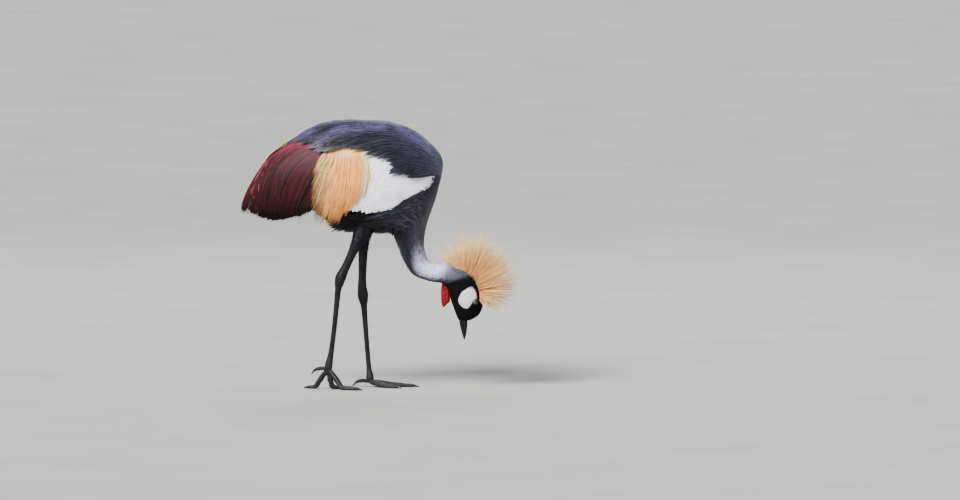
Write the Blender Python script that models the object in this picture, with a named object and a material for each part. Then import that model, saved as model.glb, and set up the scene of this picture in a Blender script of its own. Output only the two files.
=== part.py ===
"""A grey crowned crane, life size, walking with its head down to feed.

Metres, +Z up. The bird faces +X and its left side is +Y. The origin lies on the floor, under the middle of
the whole shape. The right side is modelled, and the left wing is its mirror image.
"""

import math
import random

import bmesh
import bpy
from mathutils import Vector

# Driving sizes of the whole bird
GAP = 0.0003
FEATHER = 0.0008
BACK_COAT = 0.003
SEED = 7

# The body from the tips of the folded wings to the nape, as sections that run from the belly to the back:
# belly x and z, back x and z, half width of the flesh, half width of the coat, squareness of the section
BODY = (
    (-0.3200, 0.398, -0.3200, 0.418, 0.0020, 0.0080, 0.90),
    (-0.2930, 0.384, -0.2930, 0.474, 0.0200, 0.0340, 0.88),
    (-0.2530, 0.376, -0.2530, 0.527, 0.0440, 0.0580, 0.85),
    (-0.2030, 0.372, -0.2030, 0.564, 0.0620, 0.0760, 0.85),
    (-0.1430, 0.368, -0.1430, 0.600, 0.0760, 0.0900, 0.85),
    (-0.0830, 0.364, -0.0830, 0.611, 0.0840, 0.0980, 0.85),
    (-0.0230, 0.366, -0.0230, 0.610, 0.0860, 0.1000, 0.85),
    (0.0260, 0.364, 0.0340, 0.605, 0.0840, 0.0980, 0.85),
    (0.0310, 0.362, 0.0960, 0.576, 0.0760, 0.0890, 0.88),
    (0.0340, 0.358, 0.1410, 0.521, 0.0620, 0.0730, 0.92),
    (0.0356, 0.356, 0.1319, 0.450, 0.0500, 0.0560, 0.96),
    (0.0382, 0.347, 0.1094, 0.384, 0.0390, 0.0425, 1.00),
    (0.0465, 0.326, 0.1010, 0.342, 0.0300, 0.0330, 1.00),
    (0.0593, 0.294, 0.1042, 0.311, 0.0225, 0.0255, 1.00),
    (0.0804, 0.264, 0.1151, 0.291, 0.0185, 0.0215, 1.00),
    (0.1150, 0.250, 0.1355, 0.284, 0.0180, 0.0210, 1.00),
    (0.1426, 0.246, 0.1589, 0.286, 0.0185, 0.0215, 1.00),
)
TORSO_END = 9.4
BREAST_END = 10.9
NECK_BEND = 13.4
NECK_END = 16.0
REAR_TAPER = (3.0, 4.2)
COAT_FILL = 0.85
RIDGE_ANGLES = (15, 30)
PLACE_STEP = 0.05
SLOPE_STEP = 0.01
TORSO_ROWS = 16
TORSO_COLUMNS = 12
REAR_HEIGHT = 0.498

# The head from the neck to the bill: throat x and z, crown x and z, half width
HEAD = (
    (0.1415, 0.2432, 0.1600, 0.2890, 0.0215),
    (0.1500, 0.2385, 0.1830, 0.2835, 0.0225),
    (0.1570, 0.2270, 0.2080, 0.2670, 0.0245),
    (0.1620, 0.2130, 0.2270, 0.2460, 0.0262),
    (0.1655, 0.2000, 0.2365, 0.2180, 0.0265),
    (0.1705, 0.1860, 0.2390, 0.1930, 0.0240),
    (0.1755, 0.1720, 0.2300, 0.1705, 0.0185),
    (0.1800, 0.1620, 0.2150, 0.1600, 0.0128),
    (0.1830, 0.1560, 0.2045, 0.1560, 0.0098),
)
BILL = (
    (0.1832, 0.1556, 0.2041, 0.1556, 0.0092),
    (0.1858, 0.1450, 0.2032, 0.1450, 0.0076),
    (0.1895, 0.1300, 0.2012, 0.1300, 0.0052),
    (0.1925, 0.1190, 0.1990, 0.1190, 0.0030),
    (0.1950, 0.1120, 0.1964, 0.1120, 0.0009),
)
MOUTH_BASE = Vector((0.1905, 0.0, 0.1556))
MOUTH_TIP = Vector((0.1953, 0.0, 0.1115))
GAPE = Vector((0.1850, 0.0, 0.1800))
MOUTH_GAP = 0.0008
MOUTH_DEPTHS = (0.0078, 0.0178)
MOUTH_REACH = 0.012
NOSTRIL = Vector((0.1985, 0.0070, 0.1440))
NOSTRIL_RADII = (0.0013, 0.0022, 0.0042)
EYE = Vector((0.2190, -0.0165, 0.2000))
EYE_RADIUS = 0.0085
LID_RADIUS = 0.0064
LID_THICKNESS = 0.0012
LID_OUT = 0.0058
LID_FACING = Vector((0.34, -0.94, 0.0)).normalized()
WATTLE = (
    (0.1440, 0.2440, 0.1600, 0.2440, 0.0040),
    (0.1425, 0.2300, 0.1620, 0.2300, 0.0052),
    (0.1422, 0.2120, 0.1634, 0.2120, 0.0062),
    (0.1428, 0.2000, 0.1625, 0.2010, 0.0064),
    (0.1445, 0.1920, 0.1560, 0.1935, 0.0046),
    (0.1470, 0.1872, 0.1500, 0.1876, 0.0015),
)

# The crest is a fan of bristles about this centre, from the nape round to the forehead
CREST_CENTRE = Vector((0.2095, 0.0, 0.2540))
CREST_ANGLES = (147, -60)
CREST_REACH = (0.088, 0.102, 0.104, 0.112, 0.092)
CREST_STATIONS = (1.15, 4.45)
CREST_ROWS = 15
CREST_COLUMNS = 6
CREST_SPREAD = 0.0135
CREST_LEAN = math.radians(26)
CREST_DEPTH = 0.16
BRISTLE_RADIUS = 0.0010

# Feathers of the back in two tiers: count, first and last station of the roots and of the tips, angles of root
# and tip, heights at the root, at a third of the length and at the tip
BACK_TIERS = (
    (5, (4.5, 8.6), (2.9, 6.3), 14, 53, (0.15, 1.35, 1.50)),
    (3, (4.7, 7.7), (2.8, 4.9), 10, 33, (0.35, 1.90, 2.20)),
)
BACK_HALF_WIDTH = 0.0205

# Feathers in front of the wing: angle of the root, and x and z of the tip
SHOULDER_ROOT = 9.33
SHOULDER_HALF_WIDTH = 0.0170
SHOULDER_TIPS = ((28, 0.034, 0.516), (43, 0.064, 0.502), (58, 0.092, 0.490))

# The folded wing. Its pad keeps to the stations and angles of the torso's own grid, so that the two meet all
# over. Heights are shares of the coat's depth over the flesh.
WING_STATIONS = (3.0, 8.6)
WING_ANGLES = (30, 120)
WING_ROWS = 14
WING_COLUMNS = 6
WING_EDGE = 0.4
ARM_HEIGHT = 0.50
HAND_HEIGHT = 0.20
HAND_STATION = 4.5
COVERT_ROWS = ((8.45, 48, 4), (7.80, 58, 3), (7.15, 48, 4), (6.50, 58, 3))
COVERT_SPACING = 19
COVERT_TURN = 9
COVERT_HEIGHTS = (0.15, 0.61, 0.88)
COVERT_REACH = 1.25
COVERT_HALF_WIDTH = 0.0190
PLUME_COUNT = 8
PLUME_HALF_WIDTH = 0.0112
PLUME_ROOTS = ((-0.120, 0.546), (-0.028, 0.546))
PLUME_BENDS = ((-0.128, 0.500), (-0.026, 0.500))
PLUME_TIPS = ((-0.152, 0.416), (-0.120, 0.386), (-0.084, 0.386), (-0.046, 0.440))

# The long feathers from the hand up: count, x and z of the lowest and highest root, of the bends and of the
# tips, half width, heights, step in height from one to the next, and roll
FLIGHT_FEATHERS = (
    (
        3,
        ((-0.112, 0.450), (-0.134, 0.470)),
        ((-0.180, 0.425), (-0.220, 0.445)),
        ((-0.240, 0.394), (-0.297, 0.402)),
        0.0130,
        (0.08, 0.27, 0.27),
        0.04,
        -0.05,
    ),
    (
        4,
        ((-0.066, 0.495), (-0.146, 0.538)),
        ((-0.110, 0.478), (-0.225, 0.518)),
        ((-0.125, 0.414), (-0.292, 0.402)),
        0.0205,
        (0.12, 0.46, 0.48),
        0.04,
        -0.06,
    ),
    (
        4,
        ((-0.096, 0.538), (-0.150, 0.556)),
        ((-0.185, 0.528), (-0.262, 0.545)),
        ((-0.215, 0.440), (-0.316, 0.420)),
        0.0195,
        (0.16, 0.74, 0.78),
        0.10,
        -0.06,
    ),
)

TAIL_BLOCK = (
    (-0.1950, 0.0, 0.503, 0.014, 0.020),
    (-0.2150, 0.0, 0.492, 0.011, 0.018),
    (-0.2280, 0.0, 0.484, 0.006, 0.014),
)
TAIL_BASE = Vector((-0.2060, 0.0, 0.4960))
TAIL_SLOPE = math.radians(36)
TAIL_DROOP = 6.0
TAIL_COUNT = 5
TAIL_STEP = 0.0016
TAIL_HALF_WIDTH = 0.0120

# Plumes at the base of the neck: station and angle of the root, height, and x and z of the tip
BREAST_ROOT = 0.62
BREAST_HALF_WIDTH = 0.0110
BREAST_PLUMES = (
    (10.0, 56, 1.25, 0.062, 0.436),
    (10.0, 75, 1.40, 0.024, 0.413),
    (10.1, 94, 1.25, -0.014, 0.396),
    (10.2, 113, 1.40, -0.052, 0.380),
    (10.5, 68, 1.65, 0.068, 0.406),
    (10.5, 92, 1.80, 0.034, 0.387),
    (10.6, 117, 1.65, 0.006, 0.375),
)

# Each leg from the hip to the foot joint: x, y, z, radius fore and aft, radius across
RIGHT_LEG = (
    (-0.0280, -0.0360, 0.415, 0.0300, 0.0180),
    (-0.0320, -0.0365, 0.385, 0.0280, 0.0180),
    (-0.0385, -0.0370, 0.362, 0.0205, 0.0165),
    (-0.0470, -0.0372, 0.345, 0.0150, 0.0135),
    (-0.0530, -0.0365, 0.333, 0.0120, 0.0110),
    (-0.0680, -0.0358, 0.300, 0.0096, 0.0086),
    (-0.0800, -0.0350, 0.275, 0.0102, 0.0090),
    (-0.0880, -0.0343, 0.258, 0.0122, 0.0104),
    (-0.0918, -0.0340, 0.243, 0.0102, 0.0088),
    (-0.0945, -0.0340, 0.225, 0.0070, 0.0058),
    (-0.1015, -0.0338, 0.155, 0.0058, 0.0048),
    (-0.1095, -0.0335, 0.090, 0.0060, 0.0052),
    (-0.1145, -0.0332, 0.063, 0.0082, 0.0076),
    (-0.1160, -0.0330, 0.053, 0.0088, 0.0082),
    (-0.1165, -0.0330, 0.043, 0.0068, 0.0070),
)
LEFT_LEG = (
    (-0.0280, 0.0360, 0.415, 0.0300, 0.0180),
    (-0.0310, 0.0365, 0.385, 0.0270, 0.0180),
    (-0.0345, 0.0370, 0.360, 0.0195, 0.0165),
    (-0.0360, 0.0372, 0.340, 0.0140, 0.0130),
    (-0.0370, 0.0365, 0.322, 0.0116, 0.0106),
    (-0.0388, 0.0358, 0.265, 0.0092, 0.0084),
    (-0.0395, 0.0352, 0.235, 0.0100, 0.0090),
    (-0.0380, 0.0350, 0.214, 0.0122, 0.0104),
    (-0.0366, 0.0350, 0.199, 0.0102, 0.0088),
    (-0.0350, 0.0349, 0.181, 0.0069, 0.0057),
    (-0.0300, 0.0346, 0.115, 0.0056, 0.0047),
    (-0.0245, 0.0342, 0.048, 0.0057, 0.0050),
    (-0.0222, 0.0340, 0.029, 0.0080, 0.0074),
    (-0.0218, 0.0340, 0.020, 0.0088, 0.0082),
    (-0.0215, 0.0340, 0.010, 0.0068, 0.0070),
)
THIGH = (0, 4)
SHANK = (4, 8)
TARSUS = (8, 13)
FOOT_JOINT = (13, 14)

# Toes and their claws: x, y, z, half height, half width. The flat parts lie on the floor.
RIGHT_TOES = (
    (
        (-0.1160, -0.0330, 0.0470, 0.0052, 0.0055),
        (-0.0990, -0.0440, 0.0250, 0.0062, 0.0066),
        (-0.0840, -0.0530, 0.0060, 0.0058, 0.0064),
        (-0.0600, -0.0600, 0.0038, 0.0044, 0.0052),
        (-0.0480, -0.0630, 0.0036, 0.0030, 0.0030),
        (-0.0370, -0.0655, 0.0012, 0.0010, 0.0010),
    ),
    (
        (-0.1160, -0.0330, 0.0470, 0.0052, 0.0055),
        (-0.1130, -0.0320, 0.0260, 0.0064, 0.0070),
        (-0.1050, -0.0310, 0.0060, 0.0060, 0.0066),
        (-0.0760, -0.0300, 0.0038, 0.0046, 0.0054),
        (-0.0620, -0.0295, 0.0036, 0.0030, 0.0030),
        (-0.0500, -0.0290, 0.0012, 0.0010, 0.0010),
    ),
    (
        (-0.1160, -0.0330, 0.0470, 0.0052, 0.0055),
        (-0.1320, -0.0240, 0.0270, 0.0060, 0.0064),
        (-0.1460, -0.0160, 0.0060, 0.0056, 0.0060),
        (-0.1580, -0.0110, 0.0036, 0.0042, 0.0046),
        (-0.1660, -0.0080, 0.0034, 0.0028, 0.0028),
        (-0.1740, -0.0055, 0.0012, 0.0010, 0.0010),
    ),
    (
        (-0.1160, -0.0325, 0.0480, 0.0044, 0.0046),
        (-0.1360, -0.0290, 0.0480, 0.0044, 0.0044),
        (-0.1480, -0.0270, 0.0440, 0.0030, 0.0030),
        (-0.1560, -0.0260, 0.0340, 0.0009, 0.0009),
    ),
)
LEFT_TOES = (
    (
        (-0.0218, 0.0340, 0.0130, 0.0056, 0.0060),
        (0.0000, 0.0480, 0.0080, 0.0062, 0.0066),
        (0.0220, 0.0600, 0.0044, 0.0056, 0.0062),
        (0.0420, 0.0690, 0.0038, 0.0044, 0.0052),
        (0.0530, 0.0735, 0.0036, 0.0030, 0.0030),
        (0.0630, 0.0775, 0.0012, 0.0010, 0.0010),
    ),
    (
        (-0.0218, 0.0340, 0.0130, 0.0056, 0.0060),
        (0.0080, 0.0330, 0.0090, 0.0066, 0.0070),
        (0.0400, 0.0320, 0.0046, 0.0060, 0.0066),
        (0.0680, 0.0310, 0.0038, 0.0046, 0.0054),
        (0.0800, 0.0305, 0.0036, 0.0030, 0.0030),
        (0.0920, 0.0300, 0.0012, 0.0010, 0.0010),
    ),
    (
        (-0.0218, 0.0340, 0.0130, 0.0056, 0.0060),
        (-0.0020, 0.0190, 0.0080, 0.0060, 0.0064),
        (0.0160, 0.0060, 0.0044, 0.0054, 0.0060),
        (0.0340, -0.0040, 0.0036, 0.0042, 0.0046),
        (0.0430, -0.0090, 0.0034, 0.0028, 0.0028),
        (0.0520, -0.0140, 0.0012, 0.0010, 0.0010),
    ),
    (
        (-0.0225, 0.0335, 0.0140, 0.0044, 0.0046),
        (-0.0420, 0.0290, 0.0150, 0.0044, 0.0044),
        (-0.0540, 0.0260, 0.0110, 0.0030, 0.0030),
        (-0.0620, 0.0240, 0.0030, 0.0009, 0.0009),
    ),
)


def curve(stations, t):
    """The station at t on a smooth curve through the stations, which t counts from 0."""
    last = len(stations) - 1
    start = min(max(int(t), 0), last - 1)
    f = t - start
    a, b, c, d = (stations[min(max(k, 0), last)] for k in range(start - 1, start + 3))
    return [
        0.5 * (2 * q + (r - p) * f + (2 * p - 5 * q + 4 * r - s) * f**2 + (3 * q - p - 3 * r + s) * f**3)
        for p, q, r, s in zip(a, b, c, d)
    ]


def power(value, exponent):
    return math.copysign(abs(value) ** exponent, value)


def ring_point(section, angle, grow_up, half_width, square, lift=0.0):
    """A point of one section. The angle is 0 at the back, a quarter turn on the bird's right flank."""
    low = Vector((section[0], 0.0, section[1]))
    high = Vector((section[2], 0.0, section[3]))
    up = (high - low).normalized()
    half_height = (high - low).length / 2 + grow_up
    c = math.cos(angle)
    s = math.sin(angle)
    side = Vector((0.0, -1.0, 0.0))
    normal = up * power(c, 2 - square) / half_height + side * power(s, 2 - square) / half_width
    point = (low + high) / 2 + up * half_height * power(c, square) + side * half_width * power(s, square)
    return point + normal.normalized() * lift


def body(t, angle, height, lift=0.0):
    """A point of the body at height 0 on the flesh and 1 on the coat."""
    section = curve(BODY, min(max(t, 0.0), NECK_END))
    half_width = section[4] + height * (section[5] - section[4])
    return ring_point(section, angle, height * BACK_COAT, max(half_width, 0.001), section[6], lift)


def place(x, z):
    """The station and angle of the point of the right flank's coat that is seen at x and z from the side."""
    before = None
    for step in range(round(12 / PLACE_STEP)):
        t = step * PLACE_STEP
        section = curve(BODY, t)
        low = Vector((section[0], section[1]))
        up = (Vector((section[2], section[3])) - low).normalized()
        point = Vector((x, z)) - low
        off = point.x * up.y - point.y * up.x
        if before is not None and before > 0 >= off:
            break
        before = off
    half_height = (Vector((section[2], section[3])) - low).length / 2
    along = (point.dot(up) - half_height) / (half_height + BACK_COAT)
    along = min(max(along, -1.0), 1.0)
    return t, math.acos(power(along, 1 / section[6]))


def grid(columns, rows):
    mesh = bmesh.new()
    bmesh.ops.create_grid(mesh, x_segments=columns, y_segments=rows, size=0.5)
    bmesh.ops.triangulate(mesh, faces=mesh.faces[:], quad_method="FIXED")
    return mesh


def face_out(mesh):
    bmesh.ops.recalc_face_normals(mesh, faces=mesh.faces[:])
    if mesh.calc_volume(signed=True) < 0:
        bmesh.ops.reverse_faces(mesh, faces=mesh.faces[:])
    return mesh


def tube(columns, rows, point):
    """A closed tube. point(u, v) runs once round it as u goes from 0 to 1, and along it with v."""
    mesh = grid(columns, rows)
    for vert in mesh.verts:
        vert.co = point(vert.co.x + 0.5, vert.co.y + 0.5)
    bmesh.ops.remove_doubles(mesh, verts=mesh.verts[:], dist=1e-6)
    caps = bmesh.ops.holes_fill(mesh, edges=mesh.edges[:], sides=0)["faces"]
    bmesh.ops.triangulate(mesh, faces=caps)
    return face_out(mesh)


def half_tube(columns, rows, point):
    """A closed tube made as its right half, with u from the back to the belly, and mirrored."""
    mesh = grid(columns, rows)
    for vert in mesh.verts:
        vert.co = point(vert.co.x + 0.5, vert.co.y + 0.5)
    everything = mesh.verts[:] + mesh.edges[:] + mesh.faces[:]
    bmesh.ops.mirror(mesh, geom=everything, axis="Y", merge_dist=1e-5)
    caps = bmesh.ops.holes_fill(mesh, edges=mesh.edges[:], sides=0)["faces"]
    bmesh.ops.triangulate(mesh, faces=caps)
    return face_out(mesh)


def slab(columns, rows, under, over):
    """A closed slab between two faces that are split into triangles alike."""
    mesh = grid(columns, rows)
    lifted = bmesh.ops.extrude_face_region(mesh, geom=mesh.faces[:])["geom"]
    upper = {item for item in lifted if isinstance(item, bmesh.types.BMVert)}
    for vert in mesh.verts:
        point = over if vert in upper else under
        vert.co = point(vert.co.x + 0.5, vert.co.y + 0.5)
    return face_out(mesh)


def feather_shape(share):
    """Half width of a broad feather along its length, as a share of its greatest."""
    return math.sqrt(1 - ((share - 0.5) / 0.53) ** 2)


def plume_shape(share):
    """Half width of a long pointed plume along its length."""
    return (0.62 + 1.2 * share * (1 - share)) * (1 - 0.62 * share**4)


def vane(surface, root, bend, tip, half_width, heights, shape, roll=0.0, columns=2, rows=3):
    """One feather laid on a surface from its root by way of a bend to its tip.

    The surface maps two coordinates, a height and a lift to a point. The heights are those at the root, at a
    third of the length and at the tip, and the roll lifts one edge over the next feather's.
    """

    def centre(v):
        return [(1 - v) ** 2 * a + 2 * v * (1 - v) * b + v**2 * c for a, b, c in zip(root, bend, tip)]

    def height(v):
        if v < 1 / 3:
            return heights[0] + (heights[1] - heights[0]) * 3 * v
        return heights[1] + (heights[2] - heights[1]) * (v - 1 / 3) * 1.5

    def point(u, v, lift):
        a, b = centre(v)
        h = height(v)
        here = surface(a, b, h)
        along_a = (surface(a + SLOPE_STEP, b, h) - here) / SLOPE_STEP
        along_b = (surface(a, b + SLOPE_STEP, h) - here) / SLOPE_STEP
        a1, b1 = centre(min(v + SLOPE_STEP, 1.0))
        a0, b0 = centre(max(v - SLOPE_STEP, 0.0))
        ahead = along_a * (a1 - a0) + along_b * (b1 - b0)
        across = along_a.cross(along_b).cross(ahead).normalized()
        share = 2 * u - 1
        reach = across * share * half_width * shape(v)
        aa = along_a.dot(along_a)
        ab = along_a.dot(along_b)
        bb = along_b.dot(along_b)
        ra = reach.dot(along_a)
        rb = reach.dot(along_b)
        det = aa * bb - ab * ab
        a += (ra * bb - rb * ab) / det
        b += (rb * aa - ra * ab) / det
        return surface(a, b, h + roll * share, lift)

    return slab(
        columns,
        rows,
        lambda u, v: point(u, v, -FEATHER / 2),
        lambda u, v: point(u, v, FEATHER / 2),
    )


def limb(stations, span, columns, rows, floor=None):
    """A length of a round limb. Each station has a centre, a radius in the plane of its bends and one across.

    The length starts the gap past the first station of its span, so that it clears the length before.
    """
    heading = Vector(stations[-1][:3]) - Vector(stations[0][:3])
    level = Vector((-heading.y, heading.x, 0.0))
    if level.length < 0.02:
        level = Vector((0.0, 1.0, 0.0))

    def point(u, v):
        t = span[0] + v * (span[1] - span[0])
        x, y, z, deep, wide = curve(stations, t)
        ahead = Vector(curve(stations, min(t + 0.1, len(stations) - 1))[:3])
        behind = Vector(curve(stations, max(t - 0.1, 0.0))[:3])
        along = (ahead - behind).normalized()
        across = (level - along * level.dot(along)).normalized()
        up = across.cross(along)
        angle = (u + 0.5 / columns) * math.tau
        spot = Vector((x, y, z)) + across * wide * math.cos(angle) + up * deep * math.sin(angle)
        if v == 0:
            spot += along * GAP
        if floor is not None:
            spot.z = max(spot.z, floor)
        return spot

    return tube(columns, rows, point)


def neck(first, last, rows, first_height=1.0):
    """A length of the neck between two stations of the body, out to its coat."""

    def point(u, v):
        t = first + v * (last - first)
        height = first_height + (1.0 - first_height) * v
        spot = body(t, u * math.pi, height)
        if v == 0:
            section = curve(BODY, t)
            up = Vector((section[2] - section[0], 0.0, section[3] - section[1])).normalized()
            spot += Vector((up.z, 0.0, -up.x)) * GAP
        return spot

    return half_tube(8, rows, point)


def both_sides(meshes):
    """The meshes of the right side, with their mirror images for the left."""
    others = []
    for mesh in meshes:
        other = mesh.copy()
        bmesh.ops.scale(other, vec=(1.0, -1.0, 1.0), verts=other.verts[:])
        bmesh.ops.reverse_faces(other, faces=other.faces[:])
        others.append(other)
    return meshes + others


def ball(centre, radii, columns=14, rows=9):
    mesh = bmesh.new()
    bmesh.ops.create_uvsphere(mesh, u_segments=columns, v_segments=rows, radius=1.0)
    bmesh.ops.scale(mesh, vec=radii, verts=mesh.verts[:])
    bmesh.ops.translate(mesh, vec=centre, verts=mesh.verts[:])
    bmesh.ops.triangulate(mesh, faces=mesh.faces[:])
    return face_out(mesh)


def material(name, colour, roughness):
    made = bpy.data.materials.new(name)
    made.use_nodes = True
    shader = made.node_tree.nodes["Principled BSDF"]
    shader.inputs["Base Color"].default_value = (*colour, 1.0)
    shader.inputs["Roughness"].default_value = roughness
    shader.inputs["Metallic"].default_value = 0.0
    return made


def add(name, mesh, finish, collection):
    data = bpy.data.meshes.new(name)
    mesh.to_mesh(data)
    mesh.free()
    data.materials.append(finish)
    data.shade_smooth()
    obj = bpy.data.objects.new(name, data)
    collection.objects.link(obj)
    return obj


def largest_surface(data):
    """Removes all but the largest closed surface of a mesh, also scraps that only touch it along an edge."""
    mesh = bmesh.new()
    mesh.from_mesh(data)
    bmesh.ops.triangulate(mesh, faces=mesh.faces[:])
    bmesh.ops.remove_doubles(mesh, verts=mesh.verts[:], dist=1e-6)
    left = set(mesh.faces)
    surfaces = []
    while left:
        seed = left.pop()
        found = {seed}
        ahead = [seed]
        while ahead:
            for edge in ahead.pop().edges:
                beside = edge.link_faces[:] if len(edge.link_faces) == 2 else []
                for face in beside:
                    if face in left:
                        left.remove(face)
                        found.add(face)
                        ahead.append(face)
        surfaces.append(found)

    def span(faces):
        places = [vert.co for face in faces for vert in face.verts]
        return sum(max(co[k] for co in places) - min(co[k] for co in places) for k in range(3))

    keep = max(surfaces, key=span)
    extra = [face for face in mesh.faces if face not in keep]
    bmesh.ops.delete(mesh, geom=extra, context="FACES")
    mesh.to_mesh(data)
    mesh.free()


def combine(obj, meshes, operation, solver="EXACT"):
    """Joins closed meshes to an object, or cuts them from it, in one Boolean that is applied."""
    tools = bpy.data.collections.new("tools")
    bpy.context.scene.collection.children.link(tools)
    for number, mesh in enumerate(meshes):
        add(f"tool_{number}", mesh, obj.data.materials[0], tools)
    modifier = obj.modifiers.new("combine", "BOOLEAN")
    modifier.operation = operation
    modifier.solver = solver
    modifier.operand_type = "COLLECTION"
    modifier.collection = tools
    graph = bpy.context.evaluated_depsgraph_get()
    made = bpy.data.meshes.new_from_object(obj.evaluated_get(graph))
    old = obj.data
    obj.modifiers.clear()
    obj.data = made
    made.name = obj.name
    bpy.data.meshes.remove(old)
    for tool in list(tools.objects):
        bpy.data.meshes.remove(tool.data)
    bpy.data.collections.remove(tools)
    largest_surface(made)
    made.shade_smooth()


def grown(obj, gap):
    """The object's mesh pushed out by the gap, to cut a neighbour clear of it."""
    mesh = bmesh.new()
    mesh.from_mesh(obj.data)
    mesh.normal_update()
    moves = [vert.normal * gap * vert.calc_shell_factor() for vert in mesh.verts]
    for vert, move in zip(mesh.verts, moves):
        vert.co += move
    return mesh


def mirrored(obj, name, collection):
    """A copy of a right-hand piece for the left side."""
    mesh = bmesh.new()
    mesh.from_mesh(obj.data)
    bmesh.ops.scale(mesh, vec=(1.0, -1.0, 1.0), verts=mesh.verts[:])
    bmesh.ops.reverse_faces(mesh, faces=mesh.faces[:])
    return add(name, mesh, obj.data.materials[0], collection)


def flesh_height(t, angle):
    """Height of the torso's own surface: it fills the coat along the back and in front of the wings."""
    ridge = (RIDGE_ANGLES[1] - math.degrees(angle)) / (RIDGE_ANGLES[1] - RIDGE_ANGLES[0])
    front = (t - WING_STATIONS[1]) / (TORSO_END - WING_STATIONS[1]) * 2
    return COAT_FILL * min(max(ridge, front, 0.0), 1.0)


def torso_point(u, v):
    t = REAR_TAPER[0] + v * (TORSO_END - REAR_TAPER[0])
    point = body(t, u * math.pi, flesh_height(t, u * math.pi))
    if t < REAR_TAPER[1]:
        share = (REAR_TAPER[1] - t) / (REAR_TAPER[1] - REAR_TAPER[0])
        size = max(math.sqrt(1 - share**2), 0.12)
        centre = Vector((point.x, 0.0, REAR_HEIGHT))
        point = centre + (point - centre) * size
    return point


def back_feathers(draw):
    """The long grey feathers of the back, which hang over the upper edge of the folded wing."""
    laid = []
    for count, roots, tips, root_angle, tip_angle, heights in BACK_TIERS:
        for number in range(count):
            share = number / (count - 1)
            root = (roots[0] + (roots[1] - roots[0]) * share, math.radians(root_angle))
            tip = (tips[0] + (tips[1] - tips[0]) * share, math.radians(tip_angle + draw.uniform(-3, 3)))
            bend = (root[0] * 0.6 + tip[0] * 0.4, root[1] * 0.35 + tip[1] * 0.65)
            laid.append(vane(body, root, bend, tip, BACK_HALF_WIDTH, heights, feather_shape, 0.12))
    return laid


def shoulder_feathers():
    """The grey feathers in front of the wing, which run back over its first white ones."""
    laid = []
    for number, (angle, *seen_at) in enumerate(SHOULDER_TIPS):
        root = (SHOULDER_ROOT, math.radians(angle))
        tip = place(*seen_at)
        bend = ((root[0] + tip[0]) / 2, root[1] * 0.6 + tip[1] * 0.4)
        top = 1.22 + 0.20 * (number % 2)
        heights = (0.5, top, top)
        laid.append(vane(body, root, bend, tip, SHOULDER_HALF_WIDTH, heights, feather_shape))
    return laid


def wing_pad():
    """The arm and hand of the folded wing, as a slab over the flank that thins behind and towards its edges."""

    def spot(u, v):
        first, last = WING_STATIONS
        upper, lower = WING_ANGLES
        return first + v * (last - first), math.radians(upper + (lower - upper) * u)

    def inner(u, v):
        return body(*spot(u, v), 0.0, GAP)

    def outer(u, v):
        t, angle = spot(u, v)
        arm = min(max(t - HAND_STATION, 0.0), 1.0)
        edge = min(1.0, WING_EDGE + 4 * u * (1 - u)) * min(1.0, WING_EDGE + 6 * v * (1 - v))
        return body(t, angle, (HAND_HEIGHT + (ARM_HEIGHT - HAND_HEIGHT) * arm) * edge, GAP)

    return slab(WING_COLUMNS, WING_ROWS, inner, outer)


def white_coverts(draw):
    """The white feathers of the inner wing in rows, each row over the roots of the row behind it."""
    laid = []
    for t, first_angle, count in COVERT_ROWS:
        for number in range(count):
            angle = first_angle + COVERT_SPACING * number + draw.uniform(-1, 1)
            root = (t, math.radians(angle))
            tip = (t - COVERT_REACH * draw.uniform(0.96, 1.05), math.radians(angle + COVERT_TURN))
            bend = ((root[0] + tip[0]) / 2, math.radians(angle + COVERT_TURN / 3))
            laid.append(vane(body, root, bend, tip, COVERT_HALF_WIDTH, COVERT_HEIGHTS, feather_shape, -0.05))
    return laid


def between(ends, share):
    """A point on the line between two points."""
    return [a + (b - a) * share for a, b in zip(*ends)]


def gold_plumes(draw):
    """The loose gold plumes that hang from the upper coverts across the closed wing."""
    laid = []
    for number in range(PLUME_COUNT):
        share = number / (PLUME_COUNT - 1)
        x, z = curve(PLUME_TIPS, share * (len(PLUME_TIPS) - 1))
        tip = place(x, z + draw.uniform(-0.002, 0.002))
        root = place(*between(PLUME_ROOTS, share))
        bend = place(*between(PLUME_BENDS, share))
        top = 1.12 + 0.11 * (number % 2)
        heights = (0.2, top, top)
        laid.append(vane(body, root, bend, tip, PLUME_HALF_WIDTH, heights, plume_shape, columns=1, rows=4))
    return laid


def fanned(draw, count, roots, bends, tips, half_width, heights, step, roll):
    """Overlapping long feathers of the wing, from the lowest to the highest, between two seen from the side."""
    laid = []
    for number in range(count):
        share = number / (count - 1)
        sweep = share**0.8
        x, z = between(tips, sweep)
        tip = place(x, z + draw.uniform(-0.003, 0.003))
        root = place(*between(roots, share))
        bend = place(*between(bends, share))
        levels = (heights[0], heights[1] + step * number, heights[2] + step * number)
        laid.append(vane(body, root, bend, tip, half_width, levels, feather_shape, roll))
    return laid


def flight_feathers(draw):
    """Black primaries, maroon secondaries over them and the long maroon tertials on top."""
    laid = []
    for feathers in FLIGHT_FEATHERS:
        laid += fanned(draw, *feathers)
    return laid


def breast_plumes(draw):
    """The long pointed plumes of the neck's base, which sweep back under the wing's lower edge."""
    laid = []
    for t, angle, level, *seen_at in BREAST_PLUMES:
        root = (t, math.radians(angle))
        tip = place(*seen_at)
        bend = ((root[0] + tip[0]) / 2 + 0.2, root[1] * 0.6 + tip[1] * 0.4)
        top = level + draw.uniform(0, 0.05)
        heights = (BREAST_ROOT, level, top)
        laid.append(
            vane(body, root, bend, tip, BREAST_HALF_WIDTH, heights, plume_shape, columns=1, rows=4)
        )
    return laid


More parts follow.
